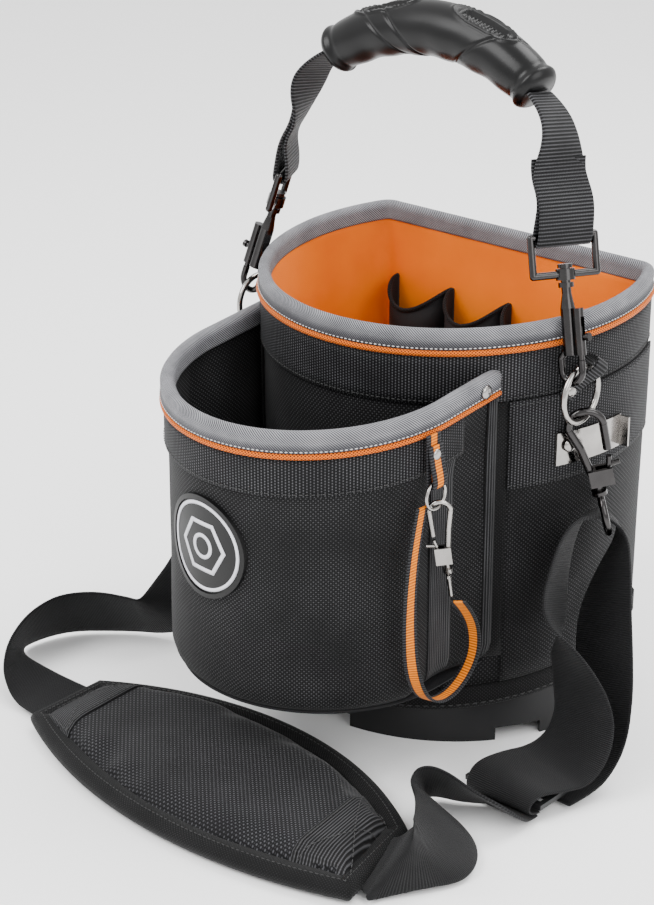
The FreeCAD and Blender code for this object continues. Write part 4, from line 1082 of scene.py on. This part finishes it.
def make_legs():
    """Webbing legs from the grip round the swivel loops' bars, their ends sewn back."""
    splay, turn = math.radians(14.4), math.radians(30)
    for side, name in SIDES:
        flat = (0.0, 1.0, 0.0)
        turned = (side * math.sin(turn) * math.cos(splay), math.cos(turn), math.sin(turn) * math.sin(splay))
        bar = Vector((side * (RING_OUT - 90.5 * math.sin(splay)), 0, 90.5 * math.cos(splay)))
        away = Vector(turned).cross(Vector((0, 0, 1))).normalized()
        leg = [(side * 83.0, 0, 170.0, *flat, 0.68), (side * 94.84, 0, 162.4, *flat, 0.8),
               (side * 103.84, 0, 146.4, *flat), (side * 104.84, 0, 124.4, *turned),
               (bar.x, 0, bar.z + 22, *turned)]
        wrap = [(4.0, 6.0), (4.2, -4.6), (0.0, -5.2), (-4.2, -4.6), (-4.0, 6.0), (-2.7, 22.0)]
        leg += [(*(bar + away * out + Vector((0, 0, high))), *turned) for out, high in wrap]
        leg.append((*(Vector((side * 105.4, 0, 124.4)) - away * 2.7), *turned))
        leg.append((*(Vector((side * 104.9, 0, 134.0)) - away * 2.7), *turned))
        obj, line, _ = ribbon(f"handle_leg_{name}", leg, 37.0, 2.3, "ribs", "handle", HANDLE)
        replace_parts(obj, f"handle_web_{name}")
        box = []
        top, low = Vector((side * 106.2, 0, 121.0)), Vector((bar.x - side * 1.0, 0, bar.z + 16))
        across = Vector(turned) * 15.0
        for spot in (top + across, top - across, low - across, low + across, top + across, low - across):
            box.append(HANDLE @ ((spot - away * 4.2) * MM))
        face = (HANDLE.to_3x3() @ -away).normalized()
        stitches(f"leg_stitches_{name}", box, [face] * len(box), "black_thread", 2.4, 1.0, 0.7,
                 body="handle")


# ---- tabs, rivets, badge
def tab_place(side, unit):
    """Place and lean of a ring tab's fold, over the ring, in a unit of length."""
    lean, reach = math.radians(38), 18.0
    fold = Vector((side * RING_OUT, RING_Y + reach * math.sin(lean), RING_Z + reach * math.cos(lean)))
    return (Matrix.Translation(fold * unit) @ Matrix.Rotation(-lean, 4, "X")
            @ Matrix.Rotation(math.radians(-7 * side), 4, "Z"))


def make_ring_tabs():
    """Webbing tabs folded over the carrying rings."""
    path = [(-10.4, -22), (-10.4, -13), (-6.2, -1), (-6.6, 6.2), (0, 8.0), (6.6, 6.2), (6.2, -1),
            (-8.2, -13.4), (-8.4, -22)]
    for side, name in SIDES:
        stations = [(side * x, 0, z, 0, 1, 0) for x, z in path]
        obj, _, _ = ribbon(f"ring_tab_web_{name}", stations, 11.2, 1.4, "ribs", spot=tab_place(side, MM))
        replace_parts(obj, f"ring_tab_{name}")


def rivet(name, centre, axis, radius, high, nodes=()):
    """Domed rivet head with a rolled edge."""
    axis = Vector(axis).normalized()
    side = axis.orthogonal().normalized()
    other = axis.cross(side)
    profile = [(0.12, 1.0), (0.45, 0.96), (0.75, 0.78), (0.93, 0.45), (1.0, 0.2), (1.0, 0.0), (0.85, -0.15)]
    count = 28
    rows = [[(Vector(centre) + side * a + other * b + axis * (high * rise)) * MM
             for a, b in circle(0, 0, radius * share, count)] for share, rise in profile]
    along = [radius * MM * k / 6 for k in range(len(profile))]
    obj = grid(name, rows, along, girth(radius, count), "nickel")
    for node in nodes:
        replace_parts(obj, node)


def make_rivets():
    """Rivet heads on the ring tabs, the pouch rim, the tape clip and the lanyard tab."""
    for side, name in SIDES:
        place = tab_place(side, 1.0)
        foot = place @ Vector((side * -7.7, 0, -17.0))
        way = place.to_3x3() @ Vector((side, 0, 0))
        rivet(f"tab_rivet_{name}", foot, way, 4.2, 1.6, ("ring_tab_rivets",) if side < 0 else ())
        rivet(f"pouch_rivet_{name}", (side * 102.8, -67, 254), (side, 0, 0), 4.6, 1.7,
              ("pouch_rim_rivets",) if side < 0 else ())
    rivet("clip_rivet", (127.4, -11.5, 208), (0.94, -0.34, 0), 4.4, 1.8, ("tape_clip_rivet",))
    rivet("lanyard_rivet_head", (105.9, -119, 230), (1, 0, 0), 3.8, 1.4, ("lanyard_rivet",))


def make_lanyard_tab():
    """Orange striped tab folded over the split ring."""
    path = [(103.3, 243), (103.4, 228), (104.0, 214), (104.6, 209.2), (108.8, 209.2), (109.2, 215),
            (106.2, 226), (105.0, 236)]
    stations = [(x, -119.4, z, 0, 1, 0) for x, z in path]
    obj, _, _ = ribbon("lanyard_tab_web", stations, 13.0, 1.2, "stripe")
    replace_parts(obj, "lanyard_tab")


BADGE_TURN, BADGE_HEIGHT, BADGE_FACE = math.radians(-96.5), 163.0, 2.8


def on_badge(across, high, lift):
    """Point on the badge's face."""
    reach = POUCH_RADIUS + BADGE_FACE + lift
    angle = BADGE_TURN + across / POUCH_RADIUS
    y = POUCH_CENTRE + reach * math.sin(angle)
    return Vector((reach * math.cos(angle), y, BADGE_HEIGHT + high)) * MM


def printed(name, outer, inner):
    """Raised pale print between two outlines on the badge."""
    rows = []
    for (xa, ya), (xb, yb) in zip(outer, inner):
        rows.append([on_badge(xa, ya, -0.2), on_badge(xa, ya, 0.35),
                     on_badge(xb, yb, 0.35), on_badge(xb, yb, -0.2)])
    along = [0.002 * k for k in range(len(rows) + 1)]
    grid(name, rows, along, [0, 0.001, 0.003, 0.004, 0.006], "print", loop=True)


def make_badge():
    """Generic round badge: a pale ring, a plain hexagon and a small ring."""
    def ring(radius):
        return circle(0, 0, radius, 72)

    def hexagon(radius):
        points = []
        for x, y in ring(radius):
            turn = math.atan2(y, x) % (math.pi / 3)
            share = math.cos(math.pi / 6) / math.cos(turn - math.pi / 6)
            points.append((x * share, y * share))
        return points

    printed("badge_ring", ring(29.6), ring(27.4))
    printed("badge_hexagon", hexagon(19.5), hexagon(16.5))
    printed("badge_dot", ring(8.5), ring(6.0))


# ---- carried-over parts, stage
def finish_nodes():
    """Better materials on the CAD parts that stay."""
    finishes = {
        "base": ["base_tub"], "board": ["floor_board"], "plastic": ["strap_slider"], "badge": ["badge"],
        "nickel": ["carry_ring_left", "carry_ring_right", "lanyard_hook", "lanyard_gate", "split_ring",
                   "tape_clip"],
        "gunmetal": [f"{part}_{side}" for _, side in SIDES
                     for part in ("swivel_loop", "handle_hook", "hook_bolt", "strap_hook", "strap_gate")],
    }
    for finish, nodes in finishes.items():
        for node in nodes:
            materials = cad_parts[node].data.materials
            for index in range(len(materials)):
                materials[index] = CLOTH[finish]


def make_stage():
    """Pale floor and soft studio light."""
    mesh = bpy.data.meshes.new("floor")
    mesh.from_pydata([(-12, -12, 0), (12, -12, 0), (12, 12, 0), (-12, 12, 0)], [], [(0, 1, 2, 3)])
    floor = bpy.data.objects.new("floor", mesh)
    FREE.objects.link(floor)
    shader = Shader("pale_floor", 0.7)
    shader.set("Base Color", (0.98, 0.98, 0.98, 1))
    mesh.materials.append(shader.material)
    world = bpy.data.worlds.new("studio")
    world.use_nodes = True
    world.node_tree.nodes["Background"].inputs[0].default_value = (1, 1, 1, 1)
    world.node_tree.nodes["Background"].inputs[1].default_value = 1.6
    bpy.context.scene.world = world
    lights = (("key", (-0.7, -1.5, 1.9), 52, 1.3), ("fill", (1.7, -0.5, 1.3), 26, 1.4),
              ("top", (0.3, 0.9, 1.9), 40, 1.2))
    for name, place, energy, size in lights:
        data = bpy.data.lights.new(name, "AREA")
        data.energy = energy
        data.size = size
        light = bpy.data.objects.new(name, data)
        FREE.objects.link(light)
        light.location = place
        light.rotation_euler = (Vector((0, 0, 0.15)) - Vector(place)).to_track_quat("-Z", "Y").to_euler()


make_camera()
make_cords()
make_pad()
MAIN_PLAN = main_plan()
make_bucket(MAIN_PLAN)
make_tool_pockets()
make_pouch(pouch_plan())
make_grip()
make_legs()
make_ring_tabs()
make_rivets()
make_lanyard_tab()
make_badge()
finish_nodes()
make_stage()
